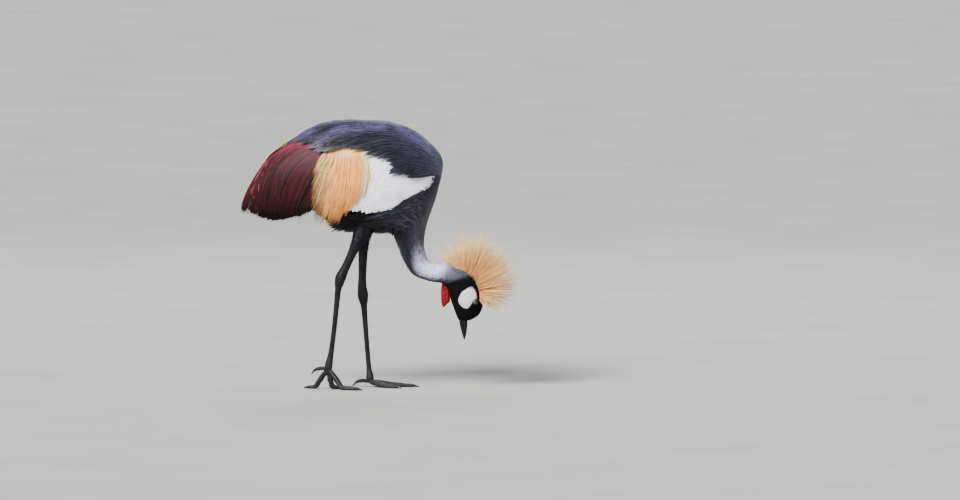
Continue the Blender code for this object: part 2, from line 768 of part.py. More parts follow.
def tail_sheet(back, side, height, lift=0.0):
    """A point of the fanned tail, which slopes down behind the torso and droops to its sides."""
    run = back * math.cos(TAIL_SLOPE)
    drop = back * math.sin(TAIL_SLOPE) + TAIL_DROOP * side**2
    return TAIL_BASE + Vector((-run, side, height + lift - drop))


def tail_feathers():
    """The tail's own feathers as an overlapping fan, each a little over the one to its right."""
    laid = []
    for number in range(TAIL_COUNT):
        side = 2 * number / (TAIL_COUNT - 1) - 1
        level = TAIL_STEP * (number - (TAIL_COUNT - 1) / 2)
        root = (0.004, 0.011 * side)
        bend = (0.050, 0.020 * side)
        tip = (0.090 - 0.008 * abs(side), 0.024 * side)
        laid.append(vane(tail_sheet, root, bend, tip, TAIL_HALF_WIDTH, (level, level, level), feather_shape))
    return laid


def head_point(u, v):
    throat_x, throat_z, crown_x, crown_z, half_width = curve(HEAD, v * (len(HEAD) - 1))
    section = (throat_x, throat_z, crown_x, crown_z)
    spot = ring_point(section, u * math.pi, 0.0, half_width, 1.0)
    if v == 0:
        up = Vector((crown_x - throat_x, 0.0, crown_z - throat_z)).normalized()
        spot += Vector((up.z, 0.0, -up.x)) * GAP
    return spot


def lid():
    """The rim of skin round the right eye."""
    up = Vector((0.0, 0.0, 1.0))
    ahead = LID_FACING.cross(up)
    centre = EYE + LID_FACING * LID_OUT

    def point(u, v):
        around = v * math.tau
        ring = ahead * math.cos(around) + up * math.sin(around)
        turn = u * math.tau
        spot = centre + ring * (LID_RADIUS + LID_THICKNESS * math.cos(turn))
        return spot + LID_FACING * LID_THICKNESS * math.sin(turn)

    mesh = grid(4, 10)
    for vert in mesh.verts:
        vert.co = point(vert.co.x + 0.5, vert.co.y + 0.5)
    bmesh.ops.remove_doubles(mesh, verts=mesh.verts[:], dist=1e-6)
    return face_out(mesh)


def mouth_groove():
    """A cutter for the line of the mouth on the right side of the face."""

    def edge(u, v):
        line = MOUTH_BASE.lerp(GAPE, v)
        depth = MOUTH_DEPTHS[0] + (MOUTH_DEPTHS[1] - MOUTH_DEPTHS[0]) * v
        return Vector((line.x, -depth - MOUTH_REACH * u, line.z))

    half = Vector((MOUTH_GAP / 2, 0.0, 0.0))
    return slab(1, 2, lambda u, v: edge(u, v) - half, lambda u, v: edge(u, v) + half)


def crest_bristles(draw):
    """The crest: stiff bristles that stand from the crown and radiate like a fan seen from the side."""
    laid = []
    for row in range(CREST_ROWS):
        for column in range(CREST_COLUMNS):
            along = (row + 0.5 * (column % 2) + draw.uniform(-0.25, 0.25)) / (CREST_ROWS - 0.5)
            along = min(max(along, 0.0), 1.0)
            side = 2 * (column + 0.5 * (row % 2)) / (CREST_COLUMNS - 0.5) - 1 + draw.uniform(-0.05, 0.05)
            station = CREST_STATIONS[0] + along * (CREST_STATIONS[1] - CREST_STATIONS[0])
            x, z, crown_x, crown_z, half_width = curve(HEAD, station)
            lateral = side * CREST_SPREAD
            drop = 1 - math.sqrt(max(1 - (lateral / half_width) ** 2, 0.0))
            middle = Vector(((x + crown_x) / 2, 0.0, (z + crown_z) / 2))
            skin = Vector((crown_x, 0.0, crown_z)).lerp(middle, drop)
            skin.y = lateral
            turn = math.radians(CREST_ANGLES[0] + along * (CREST_ANGLES[1] - CREST_ANGLES[0]))
            reach = curve([(value,) for value in CREST_REACH], along * (len(CREST_REACH) - 1))[0]
            reach *= draw.uniform(0.86, 1.0)
            lean = CREST_LEAN * side
            aim = Vector((math.cos(turn) * math.cos(lean), math.sin(lean), math.sin(turn) * math.cos(lean)))
            tip = CREST_CENTRE + aim * reach
            root = skin.lerp(middle, CREST_DEPTH)
            stations = (
                (*root, BRISTLE_RADIUS, BRISTLE_RADIUS),
                (*tip, BRISTLE_RADIUS * 0.3, BRISTLE_RADIUS * 0.3),
            )
            laid.append(limb(stations, (0, 1), 3, 1))
    return laid


def bill_point(u, v):
    low_x, low_z, high_x, high_z, half_width = curve(BILL, v * (len(BILL) - 1))
    return ring_point((low_x, low_z, high_x, high_z), u * math.pi, 0.0, half_width, 0.92)


def bill_half(upper):
    """The bill above or below the line of the mouth, parted by a thin cut."""
    mesh = half_tube(8, 8, bill_point)
    line = (MOUTH_TIP - MOUTH_BASE).normalized()
    away = Vector((-line.z, 0.0, line.x)) * (1 if upper else -1)
    everything = mesh.verts[:] + mesh.edges[:] + mesh.faces[:]
    start = MOUTH_BASE + away * GAP / 2
    bmesh.ops.bisect_plane(mesh, geom=everything, plane_co=start, plane_no=away, clear_inner=True)
    caps = bmesh.ops.holes_fill(mesh, edges=mesh.edges[:], sides=0)["faces"]
    bmesh.ops.triangulate(mesh, faces=caps)
    return face_out(mesh)


def wattle_point(u, v):
    near_x, near_z, far_x, far_z, half_width = curve(WATTLE, v * (len(WATTLE) - 1))
    fold = 0.80 + 0.20 * math.cos(6 * u * math.pi)
    return ring_point((near_x, near_z, far_x, far_z), u * math.pi, 0.0, half_width * fold, 1.0)


def add_legs(collection, torso_flesh, feathered, skin):
    for side, leg, toes in (("right", RIGHT_LEG, RIGHT_TOES), ("left", LEFT_LEG, LEFT_TOES)):
        thigh = add(f"thigh_{side}", limb(leg, THIGH, 12, 5), feathered, collection)
        combine(thigh, [torso_flesh.copy()], "DIFFERENCE")
        add(f"shank_{side}", limb(leg, SHANK, 8, 8), skin, collection)
        add(f"tarsus_{side}", limb(leg, TARSUS, 8, 8), skin, collection)
        foot = add(f"foot_{side}", limb(leg, FOOT_JOINT, 8, 1), skin, collection)
        combine(foot, [limb(toe, (0, len(toe) - 1), 6, len(toe) + 1, 0.0) for toe in toes], "UNION")


def build(collection):
    draw = random.Random(SEED)
    slate = material("slate_feathers", (0.105, 0.115, 0.150), 0.75)
    neck_grey = material("neck_feathers", (0.260, 0.280, 0.350), 0.80)
    white = material("wing_feathers", (0.780, 0.780, 0.780), 0.75)
    black = material("black_feathers", (0.018, 0.017, 0.019), 0.60)
    horn = material("bill_horn", (0.030, 0.030, 0.034), 0.40)
    red = material("wattle_skin", (0.520, 0.015, 0.015), 0.45)
    leg_skin = material("leg_skin", (0.028, 0.027, 0.032), 0.55)
    eye_gloss = material("eye", (0.350, 0.420, 0.450), 0.08)

    torso = add("torso", half_tube(TORSO_COLUMNS, TORSO_ROWS, torso_point), slate, collection)
    torso_flesh = grown(torso, GAP)
    combine(torso, both_sides(back_feathers(draw) + shoulder_feathers()), "UNION")

    wing = add("wing_right", wing_pad(), white, collection)
    combine(wing, white_coverts(draw) + flight_feathers(draw) + gold_plumes(draw), "UNION")
    mirrored(wing, "wing_left", collection)

    tail = add("tail", limb(TAIL_BLOCK, (0, 2), 12, 4), black, collection)
    combine(tail, tail_feathers(), "UNION")
    combine(tail, [torso_flesh.copy()], "DIFFERENCE")

    breast = add("breast", neck(TORSO_END, BREAST_END, 5, COAT_FILL), slate, collection)
    combine(breast, both_sides(breast_plumes(draw)), "UNION")
    add("neck_lower", neck(BREAST_END, NECK_BEND, 7), neck_grey, collection)
    neck_upper = add("neck_upper", neck(NECK_BEND, NECK_END, 9), neck_grey, collection)

    head = add("head", half_tube(10, 13, head_point), black, collection)
    face = grown(head, GAP)
    combine(head, both_sides([lid()]) + crest_bristles(draw), "UNION")
    sockets = [ball(EYE, [EYE_RADIUS + GAP] * 3, 12, 6)]
    combine(head, both_sides(sockets + [mouth_groove()]), "DIFFERENCE")

    eye = add("eye_right", ball(EYE, [EYE_RADIUS] * 3, 12, 6), eye_gloss, collection)
    mirrored(eye, "eye_left", collection)

    upper = add("bill_upper", bill_half(True), horn, collection)
    combine(upper, both_sides([ball(NOSTRIL, NOSTRIL_RADII, 10, 6)]), "DIFFERENCE")
    add("bill_lower", bill_half(False), horn, collection)

    wattle = add("wattle", half_tube(6, 6, wattle_point), red, collection)
    combine(wattle, [face], "DIFFERENCE")
    combine(wattle, [grown(neck_upper, GAP)], "DIFFERENCE")

    add_legs(collection, torso_flesh, slate, leg_skin)
    torso_flesh.free()


def main():
    for obj in list(bpy.data.objects):
        bpy.data.objects.remove(obj)
    collection = bpy.data.collections.new("grey_crowned_crane")
    bpy.context.scene.collection.children.link(collection)
    build(collection)


main()
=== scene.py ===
"""The looks of a life-size grey crowned crane that walks with its head down to feed.

Metres, +Z up. The bird faces +X and its left side is +Y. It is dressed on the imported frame: one skin takes
the place of the solids' flesh, and every coat of feathers is laid along the same form of the body.
"""

import math

import bmesh
import bpy
import numpy as np
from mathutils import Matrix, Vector


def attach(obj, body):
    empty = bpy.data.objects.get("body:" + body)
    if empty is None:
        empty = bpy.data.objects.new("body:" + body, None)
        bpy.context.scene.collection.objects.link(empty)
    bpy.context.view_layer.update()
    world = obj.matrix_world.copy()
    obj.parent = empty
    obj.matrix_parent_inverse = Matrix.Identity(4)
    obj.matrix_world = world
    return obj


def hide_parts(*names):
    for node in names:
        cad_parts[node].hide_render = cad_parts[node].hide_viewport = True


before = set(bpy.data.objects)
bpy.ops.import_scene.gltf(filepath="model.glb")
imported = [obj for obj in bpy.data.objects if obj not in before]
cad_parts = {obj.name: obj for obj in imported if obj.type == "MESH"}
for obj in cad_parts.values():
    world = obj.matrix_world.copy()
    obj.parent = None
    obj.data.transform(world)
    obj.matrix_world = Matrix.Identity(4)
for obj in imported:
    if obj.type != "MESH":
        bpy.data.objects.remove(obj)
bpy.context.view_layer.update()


# The skin of the crane, one closed hide from the rump through the breast and the long bent neck to the base
# of the bill, with both thighs. On the real bird it is thin and grey, and shows only where no feather grows.
# It is lofted through sections of the body, and the feathers of every coat are rooted on it.

# From the tail to the nape: belly x and z, back x and z, half width of the flesh and of the coat, squareness
# of the section, depth of the coat along the back
BODY_SECTIONS = [
    (-0.3200, 0.398, -0.3200, 0.418, 0.0020, 0.0080, 0.90, 0.003),
    (-0.2930, 0.384, -0.2930, 0.474, 0.0200, 0.0340, 0.88, 0.003),
    (-0.2530, 0.376, -0.2530, 0.527, 0.0440, 0.0580, 0.85, 0.003),
    (-0.2030, 0.372, -0.2030, 0.564, 0.0620, 0.0760, 0.85, 0.003),
    (-0.1430, 0.368, -0.1430, 0.600, 0.0760, 0.0900, 0.85, 0.003),
    (-0.0830, 0.364, -0.0830, 0.611, 0.0840, 0.0980, 0.85, 0.003),
    (-0.0230, 0.366, -0.0230, 0.610, 0.0860, 0.1000, 0.85, 0.003),
    (0.0260, 0.364, 0.0340, 0.605, 0.0840, 0.0980, 0.85, 0.003),
    (0.0310, 0.362, 0.0960, 0.576, 0.0760, 0.0890, 0.88, 0.003),
    (0.0340, 0.358, 0.1410, 0.521, 0.0620, 0.0730, 0.92, 0.003),
    (0.0356, 0.356, 0.1319, 0.450, 0.0500, 0.0560, 0.96, 0.003),
    (0.0382, 0.347, 0.1094, 0.384, 0.0390, 0.0425, 1.00, 0.003),
    (0.0465, 0.326, 0.1010, 0.342, 0.0300, 0.0330, 1.00, 0.003),
    (0.0593, 0.294, 0.1042, 0.311, 0.0225, 0.0255, 1.00, 0.003),
    (0.0804, 0.264, 0.1151, 0.291, 0.0185, 0.0215, 1.00, 0.003),
    (0.1150, 0.250, 0.1355, 0.284, 0.0180, 0.0210, 1.00, 0.003),
]
# From the nape to the bill: throat x and z, crown x and z, half width, all out to the velvet
HEAD_SECTIONS = [
    (0.1415, 0.2432, 0.1600, 0.2890, 0.0215),
    (0.1500, 0.2385, 0.1830, 0.2835, 0.0225),
    (0.1570, 0.2270, 0.2080, 0.2670, 0.0245),
    (0.1620, 0.2130, 0.2270, 0.2460, 0.0262),
    (0.1655, 0.2000, 0.2365, 0.2180, 0.0265),
    (0.1705, 0.1860, 0.2390, 0.1930, 0.0240),
    (0.1755, 0.1720, 0.2300, 0.1705, 0.0185),
    (0.1800, 0.1620, 0.2150, 0.1600, 0.0128),
    (0.1830, 0.1560, 0.2045, 0.1560, 0.0098),
]
VELVET_DEPTH = 0.0022
NAPE = len(BODY_SECTIONS)
FORM_END = NAPE + len(HEAD_SECTIONS) - 1
RUMP = (3.0, 5.6)
RUMP_HEIGHT = 0.540
SLOPE = 0.01
SKIN_ROWS = 190
SKIN_COLUMNS = 72

# From the hip to the foot joint: x, y, z, radius fore and aft, radius across
LEGS = {
    "right": [
        (-0.0280, -0.0360, 0.415, 0.0300, 0.0180),
        (-0.0320, -0.0365, 0.385, 0.0280, 0.0180),
        (-0.0385, -0.0370, 0.362, 0.0205, 0.0165),
        (-0.0470, -0.0372, 0.345, 0.0150, 0.0135),
        (-0.0530, -0.0365, 0.333, 0.0120, 0.0110),
        (-0.0680, -0.0358, 0.300, 0.0096, 0.0086),
        (-0.0800, -0.0350, 0.275, 0.0102, 0.0090),
        (-0.0880, -0.0343, 0.258, 0.0122, 0.0104),
        (-0.0918, -0.0340, 0.243, 0.0102, 0.0088),
        (-0.0945, -0.0340, 0.225, 0.0070, 0.0058),
        (-0.1015, -0.0338, 0.155, 0.0058, 0.0048),
        (-0.1095, -0.0335, 0.090, 0.0060, 0.0052),
        (-0.1145, -0.0332, 0.063, 0.0082, 0.0076),
        (-0.1160, -0.0330, 0.053, 0.0088, 0.0082),
        (-0.1165, -0.0330, 0.043, 0.0068, 0.0070),
    ],
    "left": [
        (-0.0280, 0.0360, 0.415, 0.0300, 0.0180),
        (-0.0310, 0.0365, 0.385, 0.0270, 0.0180),
        (-0.0345, 0.0370, 0.360, 0.0195, 0.0165),
        (-0.0360, 0.0372, 0.340, 0.0140, 0.0130),
        (-0.0370, 0.0365, 0.322, 0.0116, 0.0106),
        (-0.0388, 0.0358, 0.265, 0.0092, 0.0084),
        (-0.0395, 0.0352, 0.235, 0.0100, 0.0090),
        (-0.0380, 0.0350, 0.214, 0.0122, 0.0104),
        (-0.0366, 0.0350, 0.199, 0.0102, 0.0088),
        (-0.0350, 0.0349, 0.181, 0.0069, 0.0057),
        (-0.0300, 0.0346, 0.115, 0.0056, 0.0047),
        (-0.0245, 0.0342, 0.048, 0.0057, 0.0050),
        (-0.0222, 0.0340, 0.029, 0.0080, 0.0074),
        (-0.0218, 0.0340, 0.020, 0.0088, 0.0082),
        (-0.0215, 0.0340, 0.010, 0.0068, 0.0070),
    ],
}
THIGH_END = 4.0
THIGH_FLESH = 0.86

BELLY_BLACK = (0.0036, 0.0033, 0.0045)
MANTLE_SLATE = (0.0140, 0.0130, 0.0270)
THROAT_GREY = (0.0085, 0.0085, 0.0120)
NECK_GREY = (0.062, 0.060, 0.082)
NAPE_PALE = (0.700, 0.680, 0.900)
NAPE_VIOLET = (0.125, 0.118, 0.175)
VELVET_BLACK = (0.0035, 0.0030, 0.0040)
BLACK = (0.0, 0.0, 0.0)
# The stations between which each colour of the neck and head comes in
NECK_STARTS = (9.7, 11.0)
NAPE_PALES = (12.2, 14.6)
NAPE_DARKENS = (15.4, 17.0)
VELVET_START = 16.7


def velvet_section(throat_x, throat_z, crown_x, crown_z, half_width):
    """A section of the head, with its skin the depth of the velvet inside it."""
    length = math.dist((throat_x, throat_z), (crown_x, crown_z))
    in_x = (crown_x - throat_x) / length * VELVET_DEPTH
    in_z = (crown_z - throat_z) / length * VELVET_DEPTH
    low = (throat_x + in_x, throat_z + in_z)
    high = (crown_x - in_x, crown_z - in_z)
    return (*low, *high, half_width - VELVET_DEPTH, half_width, 1.0, VELVET_DEPTH)


SECTIONS = np.array(BODY_SECTIONS + [velvet_section(*section) for section in HEAD_SECTIONS])


def along_curve(stations, t):
    """The stations read at every t on a smooth curve through them, which t counts from 0."""
    stations = np.asarray(stations, dtype=float)
    last = len(stations) - 1
    t = np.clip(t, 0.0, last)
    start = np.clip(np.floor(t).astype(int), 0, last - 1)
    f = (t - start)[..., None]
    a, b, c, d = (stations[np.clip(start + k, 0, last)] for k in (-1, 0, 1, 2))
    return 0.5 * (2 * b + (c - a) * f + (2 * a - 5 * b + 4 * c - d) * f**2 + (3 * b - a - 3 * c + d) * f**3)


def signed_power(value, exponent):
    return np.sign(value) * np.abs(value) ** exponent


def upright(section):
    """The middle of a section, the way up it and half its height."""
    low = section[..., 0:2]
    high = section[..., 2:4]
    half = np.linalg.norm(high - low, axis=-1) / 2
    return (low + high) / 2, (high - low) / (2 * half)[..., None], half


def spots_on(section, rise, side):
    """Points of a section, so far up it from its middle and so far to its right."""
    middle, up, _ = upright(section)
    return np.stack([middle[..., 0] + up[..., 0] * rise, -side, middle[..., 1] + up[..., 1] * rise], axis=-1)


def body_form(t, angle, height):
    """Points of the body, at height 0 on the flesh and 1 on the coat.

    The angle is 0 along the back, a quarter turn on the right flank, and minus that on the left flank.
    """
    t, angle, height = np.broadcast_arrays(t, angle, height)
    section = along_curve(SECTIONS, t)
    rise = signed_power(np.cos(angle), section[..., 6]) * (upright(section)[2] + height * section[..., 7])
    width = np.maximum(section[..., 4] + height * (section[..., 5] - section[..., 4]), 0.0008)
    return spots_on(section, rise, signed_power(np.sin(angle), section[..., 6]) * width)


def limb_form(stations):
    """The form of a limb. Its angle is 0 at the front, and a quarter turn on the outside of a right leg."""

    def form(t, angle, height):
        t, angle, height = np.broadcast_arrays(t, angle, height)
        spot = along_curve(stations, t)
        ahead = along_curve(stations, t + 0.1)[..., :3] - along_curve(stations, t - 0.1)[..., :3]
        down = unit(ahead)
        fore = unit(np.array([1.0, 0.0, 0.0]) - down * down[..., 0:1])
        across = np.cross(fore, down)
        deep = spot[..., 3] + height * VELVET_DEPTH
        wide = spot[..., 4] + height * VELVET_DEPTH
        return (
            spot[..., :3]
            + fore * (deep * np.cos(angle))[..., None]
            + across * (wide * np.sin(angle))[..., None]
        )

    return form


def unit(vectors):
    return vectors / np.maximum(np.linalg.norm(vectors, axis=-1, keepdims=True), 1e-9)


def smooth(low, high, value):
    share = np.clip((value - low) / (high - low), 0.0, 1.0)
    return share * share * (3 - 2 * share)


def blend(first, second, share):
    """Colours between two, one for each share."""
    share = np.asarray(share, dtype=float)[..., None]
    return np.asarray(first) * (1 - share) + np.asarray(second) * share


def plumage_colour(t, angle):
    """The colour of the coat, and of the skin under it, at each place of the form."""
    turn = np.abs(angle)
    crown = (1 + np.cos(turn)) / 2
    colour = blend(MANTLE_SLATE, BELLY_BLACK, smooth(1.25, 2.0, turn))
    nape = blend(NECK_GREY, NAPE_PALE, smooth(*NAPE_PALES, t))
    nape = blend(nape, NAPE_VIOLET, smooth(*NAPE_DARKENS, t))
    wrap = 0.9 * smooth(12.8, 14.8, t)
    neck = blend(nape, THROAT_GREY, smooth(0.7 + wrap, 1.9 + wrap, turn))
    colour = blend(colour, neck, smooth(*NECK_STARTS, t))
    return blend(colour, VELVET_BLACK, smooth(0.0, 0.7, t - VELVET_START - 1.25 * crown))


def put(tree, kind, inputs=None, **settings):
    """Adds a node with its own settings, and fills its inputs with values or with links."""
    made = tree.nodes.new(kind)
    for name, value in settings.items():
        setattr(made, name, value)
    for key, value in (inputs or {}).items():
        if isinstance(value, bpy.types.NodeSocket):
            tree.links.new(value, made.inputs[key])
        else:
            made.inputs[key].default_value = value
    return made


def reckon(tree, operation, first, second=0.0):
    return put(tree, "ShaderNodeMath", {0: first, 1: second}, operation=operation).outputs[0]


def ramped(tree, value, low, high, out_low=0.0, out_high=1.0):
    """The value taken smoothly from one range to another."""
    inputs = {"Value": value, "From Min": low, "From Max": high, "To Min": out_low, "To Max": out_high}
    return put(tree, "ShaderNodeMapRange", inputs, interpolation_type="SMOOTHSTEP").outputs["Result"]


def mixed(tree, share, first, second, blend_type="MIX"):
    """Two colours mixed. A colour is a link or three numbers."""
    sockets = [part if isinstance(part, bpy.types.NodeSocket) else (*part, 1.0) for part in (first, second)]
    inputs = {0: share, 6: sockets[0], 7: sockets[1]}
    return put(tree, "ShaderNodeMix", inputs, data_type="RGBA", blend_type=blend_type).outputs[2]


def noise(tree, vector, scale, detail=3.0, roughness=0.55):
    inputs = {"Vector": vector, "Scale": scale, "Detail": detail, "Roughness": roughness}
    return put(tree, "ShaderNodeTexNoise", inputs).outputs["Fac"]


def begin(name, roughness, specular=0.4, **weights):
    """A new material with the values that are the same all over it, its tree, and its places on the object.

    Weights are more of the shader's sockets, with a _ for each space in their names.
    """
    made = bpy.data.materials.new(name)
    made.use_nodes = True
    tree = made.node_tree
    weights.update(Roughness=roughness, Specular_IOR_Level=specular)
    weights.update(Sheen_Roughness=0.45, Coat_Roughness=0.12)
    for socket, value in weights.items():
        tree.nodes["Principled BSDF"].inputs[socket.replace("_", " ")].default_value = value
    return made, tree, put(tree, "ShaderNodeTexCoord").outputs["Object"]


def own_tint(tree):
    return put(tree, "ShaderNodeAttribute", attribute_name="tint").outputs["Color"]


def cells(tree, place, scale):
    return put(tree, "ShaderNodeTexVoronoi", {"Vector": place, "Scale": scale}).outputs["Distance"]


def finished(made, shade, grain=None, rough=(0.5, 0.5), height=None, distance=0.0004, strength=0.6):
    """The material with its colour joined to the shader, its roughness along a grain, and its bumps."""
    tree = made.node_tree
    sockets = tree.nodes["Principled BSDF"].inputs
    tree.links.new(shade, sockets["Base Color"])
    if grain:
        tree.links.new(ramped(tree, grain, 0.3, 0.7, *rough), sockets["Roughness"])
    if height:
        bump = put(tree, "ShaderNodeBump", {"Height": height, "Distance": distance, "Strength": strength})
        tree.links.new(bump.outputs["Normal"], sockets["Normal"])
    return made


def hide_finish():
    """Bare grey skin: the tint of the coat over it, darkened as painted shade and pitted where the feathers
    grow.
    """
    made, tree, place = begin("crane_hide", 0.80, 0.10)
    cloud = noise(tree, place, 60.0)
    # Painted shade: the tint taken a quarter of the way to black, so the skin between the feathers reads as
    # shaded
    painted_shade_skin = mixed(tree, 0.25, own_tint(tree), (0.004, 0.0035, 0.0045))
    shade = mixed(tree, ramped(tree, cloud, 0.3, 0.7, 0.0, 0.3), painted_shade_skin, BLACK)
    return finished(made, shade, cloud, (0.65, 0.9), cells(tree, place, 420.0), 0.0006)


def closed_up(mesh, gap=0.0):
    """The mesh with its seams welded, its ends filled and its faces turned outwards."""
    if gap:
        bmesh.ops.remove_doubles(mesh, verts=mesh.verts[:], dist=gap)
    bmesh.ops.holes_fill(mesh, edges=mesh.edges[:], sides=0)
    bmesh.ops.recalc_face_normals(mesh, faces=mesh.faces[:])
    if mesh.calc_volume(signed=True) < 0:
        bmesh.ops.reverse_faces(mesh, faces=mesh.faces[:])
    return mesh


def shaped(mesh, spots, tints=None):
    """Moves the points of a mesh to their spots, and gives them their tints."""
    layer = mesh.verts.layers.float_color.new("tint") if tints is not None else None
    for index, (vert, spot) in enumerate(zip(mesh.verts, spots)):
        vert.co = spot
        if layer:
            vert[layer] = (*tints[index], 1.0)
    return mesh


def lofted(form, first, last, rows, columns, height=0.0, colour=None):
    """A closed tube of a form between two stations: a grid rolled up, welded and filled at both ends."""
    mesh = bmesh.new()
    bmesh.ops.create_grid(mesh, x_segments=columns, y_segments=rows, size=0.5)
    u = np.array([vert.co.x for vert in mesh.verts]) * math.tau
    t = first + (np.array([vert.co.y for vert in mesh.verts]) + 0.5) * (last - first)
    tints = colour(t, u) if colour else np.zeros((len(t), 3))
    return closed_up(shaped(mesh, form(t, u, height), tints), 2e-6)


def meshed(name, mesh):
    """The mesh data of a bmesh, which is freed."""
    data = bpy.data.meshes.new(name)
    mesh.to_mesh(data)
    mesh.free()
    return data


def placed(name, data):
    """An object of the scene that holds the data."""
    made = bpy.data.objects.new(name, data)
    bpy.context.scene.collection.objects.link(made)
    return made


def dress(name, mesh, finish, slot, *nodes):
    """Makes a piece of a mesh, lets it ride on the crane and hides the solids that it stands for."""
    data = meshed(name, mesh) if isinstance(mesh, bmesh.types.BMesh) else mesh
    data.name = name
    data.materials.clear()
    data.materials.append(finish)
    data.polygons.foreach_set("use_smooth", [True] * len(data.polygons))
    piece = placed(name, data)
    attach(piece, "root")
    if nodes:
        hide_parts(*nodes)


def applied(name, mesh, setup):
    """The mesh of a bmesh after the modifiers that setup gives its object."""
    data = meshed(name, mesh)
    holder = placed(name, data)
    setup(holder)
    graph = bpy.context.evaluated_depsgraph_get()
    made = bpy.data.meshes.new_from_object(holder.evaluated_get(graph))
    bpy.data.objects.remove(holder)
    bpy.data.meshes.remove(data)
    return made


def fused(name, core, parts):
    """The mesh of a closed shape with others fused to it."""
    tools = [placed("tool", meshed("tool", part)) for part in parts]

    def join(holder):
        for tool in tools:
            fuse = holder.modifiers.new("fuse", "BOOLEAN")
            fuse.operation = "UNION"
            fuse.solver = "EXACT"
            fuse.object = tool

    made = applied(name, core, join)
    for tool in tools:
        bpy.data.meshes.remove(tool.data)
    return made


def hide_form(t, angle, height):
    """The form of the hide, drawn in to a rounded rump behind and fuller under the velvet of the head."""
    spots = body_form(t, angle, height + 0.4 * smooth(15.6, 16.6, t))
    share = np.clip((RUMP[1] - t) / (RUMP[1] - RUMP[0]), 0.0, 1.0)
    size = np.maximum(np.sqrt(1 - share**2), 0.12)[..., None]
    centre = np.stack([spots[..., 0], np.zeros_like(t), np.full_like(t, RUMP_HEIGHT)], axis=-1)
    return centre + (spots - centre) * size


hide = lofted(hide_form, RUMP[0], FORM_END, SKIN_ROWS, SKIN_COLUMNS, -0.15, plumage_colour)
thighs = [lofted(limb_form(leg), 0.0, THIGH_END, 30, 32, -2.0 * THIGH_FLESH) for leg in LEGS.values()]
dress(
    "skin", fused("hide", hide, thighs), hide_finish(), "neck_feathers",
    "torso", "breast", "neck_lower", "neck_upper", "head", "thigh_right", "thigh_left",
)


# The short feathers of the trunk, soft and overlapping like tiles from the breast to the rump. On the bird
# they are a thin shaft with loose vanes, black under the belly and slate above. Each is a copy of one small
# flat feather, laid from its root on the skin along the lie of the coat.

BODY_COAT = (3.3, 9.9)
BODY_ROW_GAP = 0.0105
BODY_FEATHER_GAP = 0.0072
BODY_FEATHER_LENGTH = (0.030, 0.044)
BODY_FEATHER_HALF_WIDTH = (0.0050, 0.0075)
FEATHER_DEPTH = 0.00022
OWN_PATCH = 0.003
# Other feathers cover the trunk beyond an angle under the rump, up to a station, and beyond an angle in the
# crease below the neck, between two stations
UNDER_RUMP = (1.9, 4.9)
CREASE = (2.7, 8.9, 10.8)
# The folded wing hides the trunk between these lines, seen from the side: x and z from the tail forwards
WING_TOP = [
    (-0.33, 0.430), (-0.23, 0.556), (-0.14, 0.564), (-0.04, 0.556), (0.02, 0.520), (0.07, 0.488),
    (0.124, 0.508),
]
WING_FOOT = [
    (-0.33, 0.400), (-0.15, 0.405), (-0.10, 0.400), (-0.02, 0.415), (0.05, 0.440), (0.095, 0.468),
    (0.124, 0.500),
]


def thickened(mesh):
    """Gives a sheet a second side, and tells of each of its points whether it is on that side."""
    lifted = bmesh.ops.extrude_face_region(mesh, geom=mesh.faces[:])["geom"]
    upper = {item for item in lifted if isinstance(item, bmesh.types.BMVert)}
    return [vert in upper for vert in mesh.verts]


def flat_feather(columns, rows):
    """One flat feather, pointed at both ends: x runs from -1 to 1 across it and y from 0 to 1 along it."""
    mesh = bmesh.new()
    bmesh.ops.create_grid(mesh, x_segments=columns, y_segments=rows, size=1.0)
    raised = thickened(mesh)
    for vert, upper in zip(mesh.verts, raised):
        x, y = vert.co.x, (vert.co.y + 1) / 2
        inner = abs(x) < 0.999 and 0.001 < y < 0.999
        x = x if 0.001 < y < 0.999 else 0.0
        vert.co = (x, y, (1.0 if upper else -1.0) * inner)
    closed_up(mesh, 1e-4)
    for edge in mesh.edges:
        edge.smooth = not all(abs(vert.co.z) < 0.5 for vert in edge.verts)
    return mesh


def round_bristle(sides, rows):
    """One thin round bristle, pointed at both ends, with the same axes as a flat feather."""
    mesh = bmesh.new()
    bmesh.ops.create_grid(mesh, x_segments=sides, y_segments=rows, size=1.0)
    for vert in mesh.verts:
        turn = vert.co.x * math.pi
        y = (vert.co.y + 1) / 2
        inner = 1.0 if 0.001 < y < 0.999 else 0.0
        vert.co = (math.cos(turn) * inner, y, math.sin(turn) * inner)
    return closed_up(mesh, 1e-4)


def surface(form, t, angle, height):
    """Points of a form, with its slopes along it and round it, and the way out of it."""
    here = form(t, angle, height)
    along = (form(t + SLOPE, angle, height) - here) / SLOPE
    around = (form(t, angle + SLOPE, height) - here) / SLOPE
    out = unit(np.cross(around, along))
    grown = form(t, angle, height + 0.5) - here
    return here, along, around, out * np.where((out * grown).sum(-1) < 0, -1.0, 1.0)[..., None]


def walk(form, t, angle, aim, length, heights):
    """Lays the centre lines of feathers over a form, each from its root on the way that aim gives it.

    Heights has a row for each feather. The lines come back with the ways out of the form and their roots.
    """
    roots = (t, angle)
    steps = heights.shape[1] - 1
    centres = []
    outs = []
    for height in heights.T:
        here, along, around, out = surface(form, t, angle, height)
        centres.append(here)
        outs.append(out)
        way = aim(here, along, around)
        a = (along * along).sum(-1) + 1e-9
        b = (along * around).sum(-1)
        c = (around * around).sum(-1) + 1e-9
        p = (along * way).sum(-1)
        q = (around * way).sum(-1)
        whole = np.maximum(a * c - b * b, 1e-3 * a * c)
        forward = (p * c - q * b) / whole
        turn = (q * a - p * b) / whole
        reach = np.linalg.norm(forward[:, None] * along + turn[:, None] * around, axis=-1)
        share = length / steps / np.maximum(reach, 1e-6)
        t = t + np.clip(forward * share, -0.4, 0.4)
        angle = angle + np.clip(turn * share, -0.5, 0.5)
    return np.stack(centres, 1), np.stack(outs, 1), roots


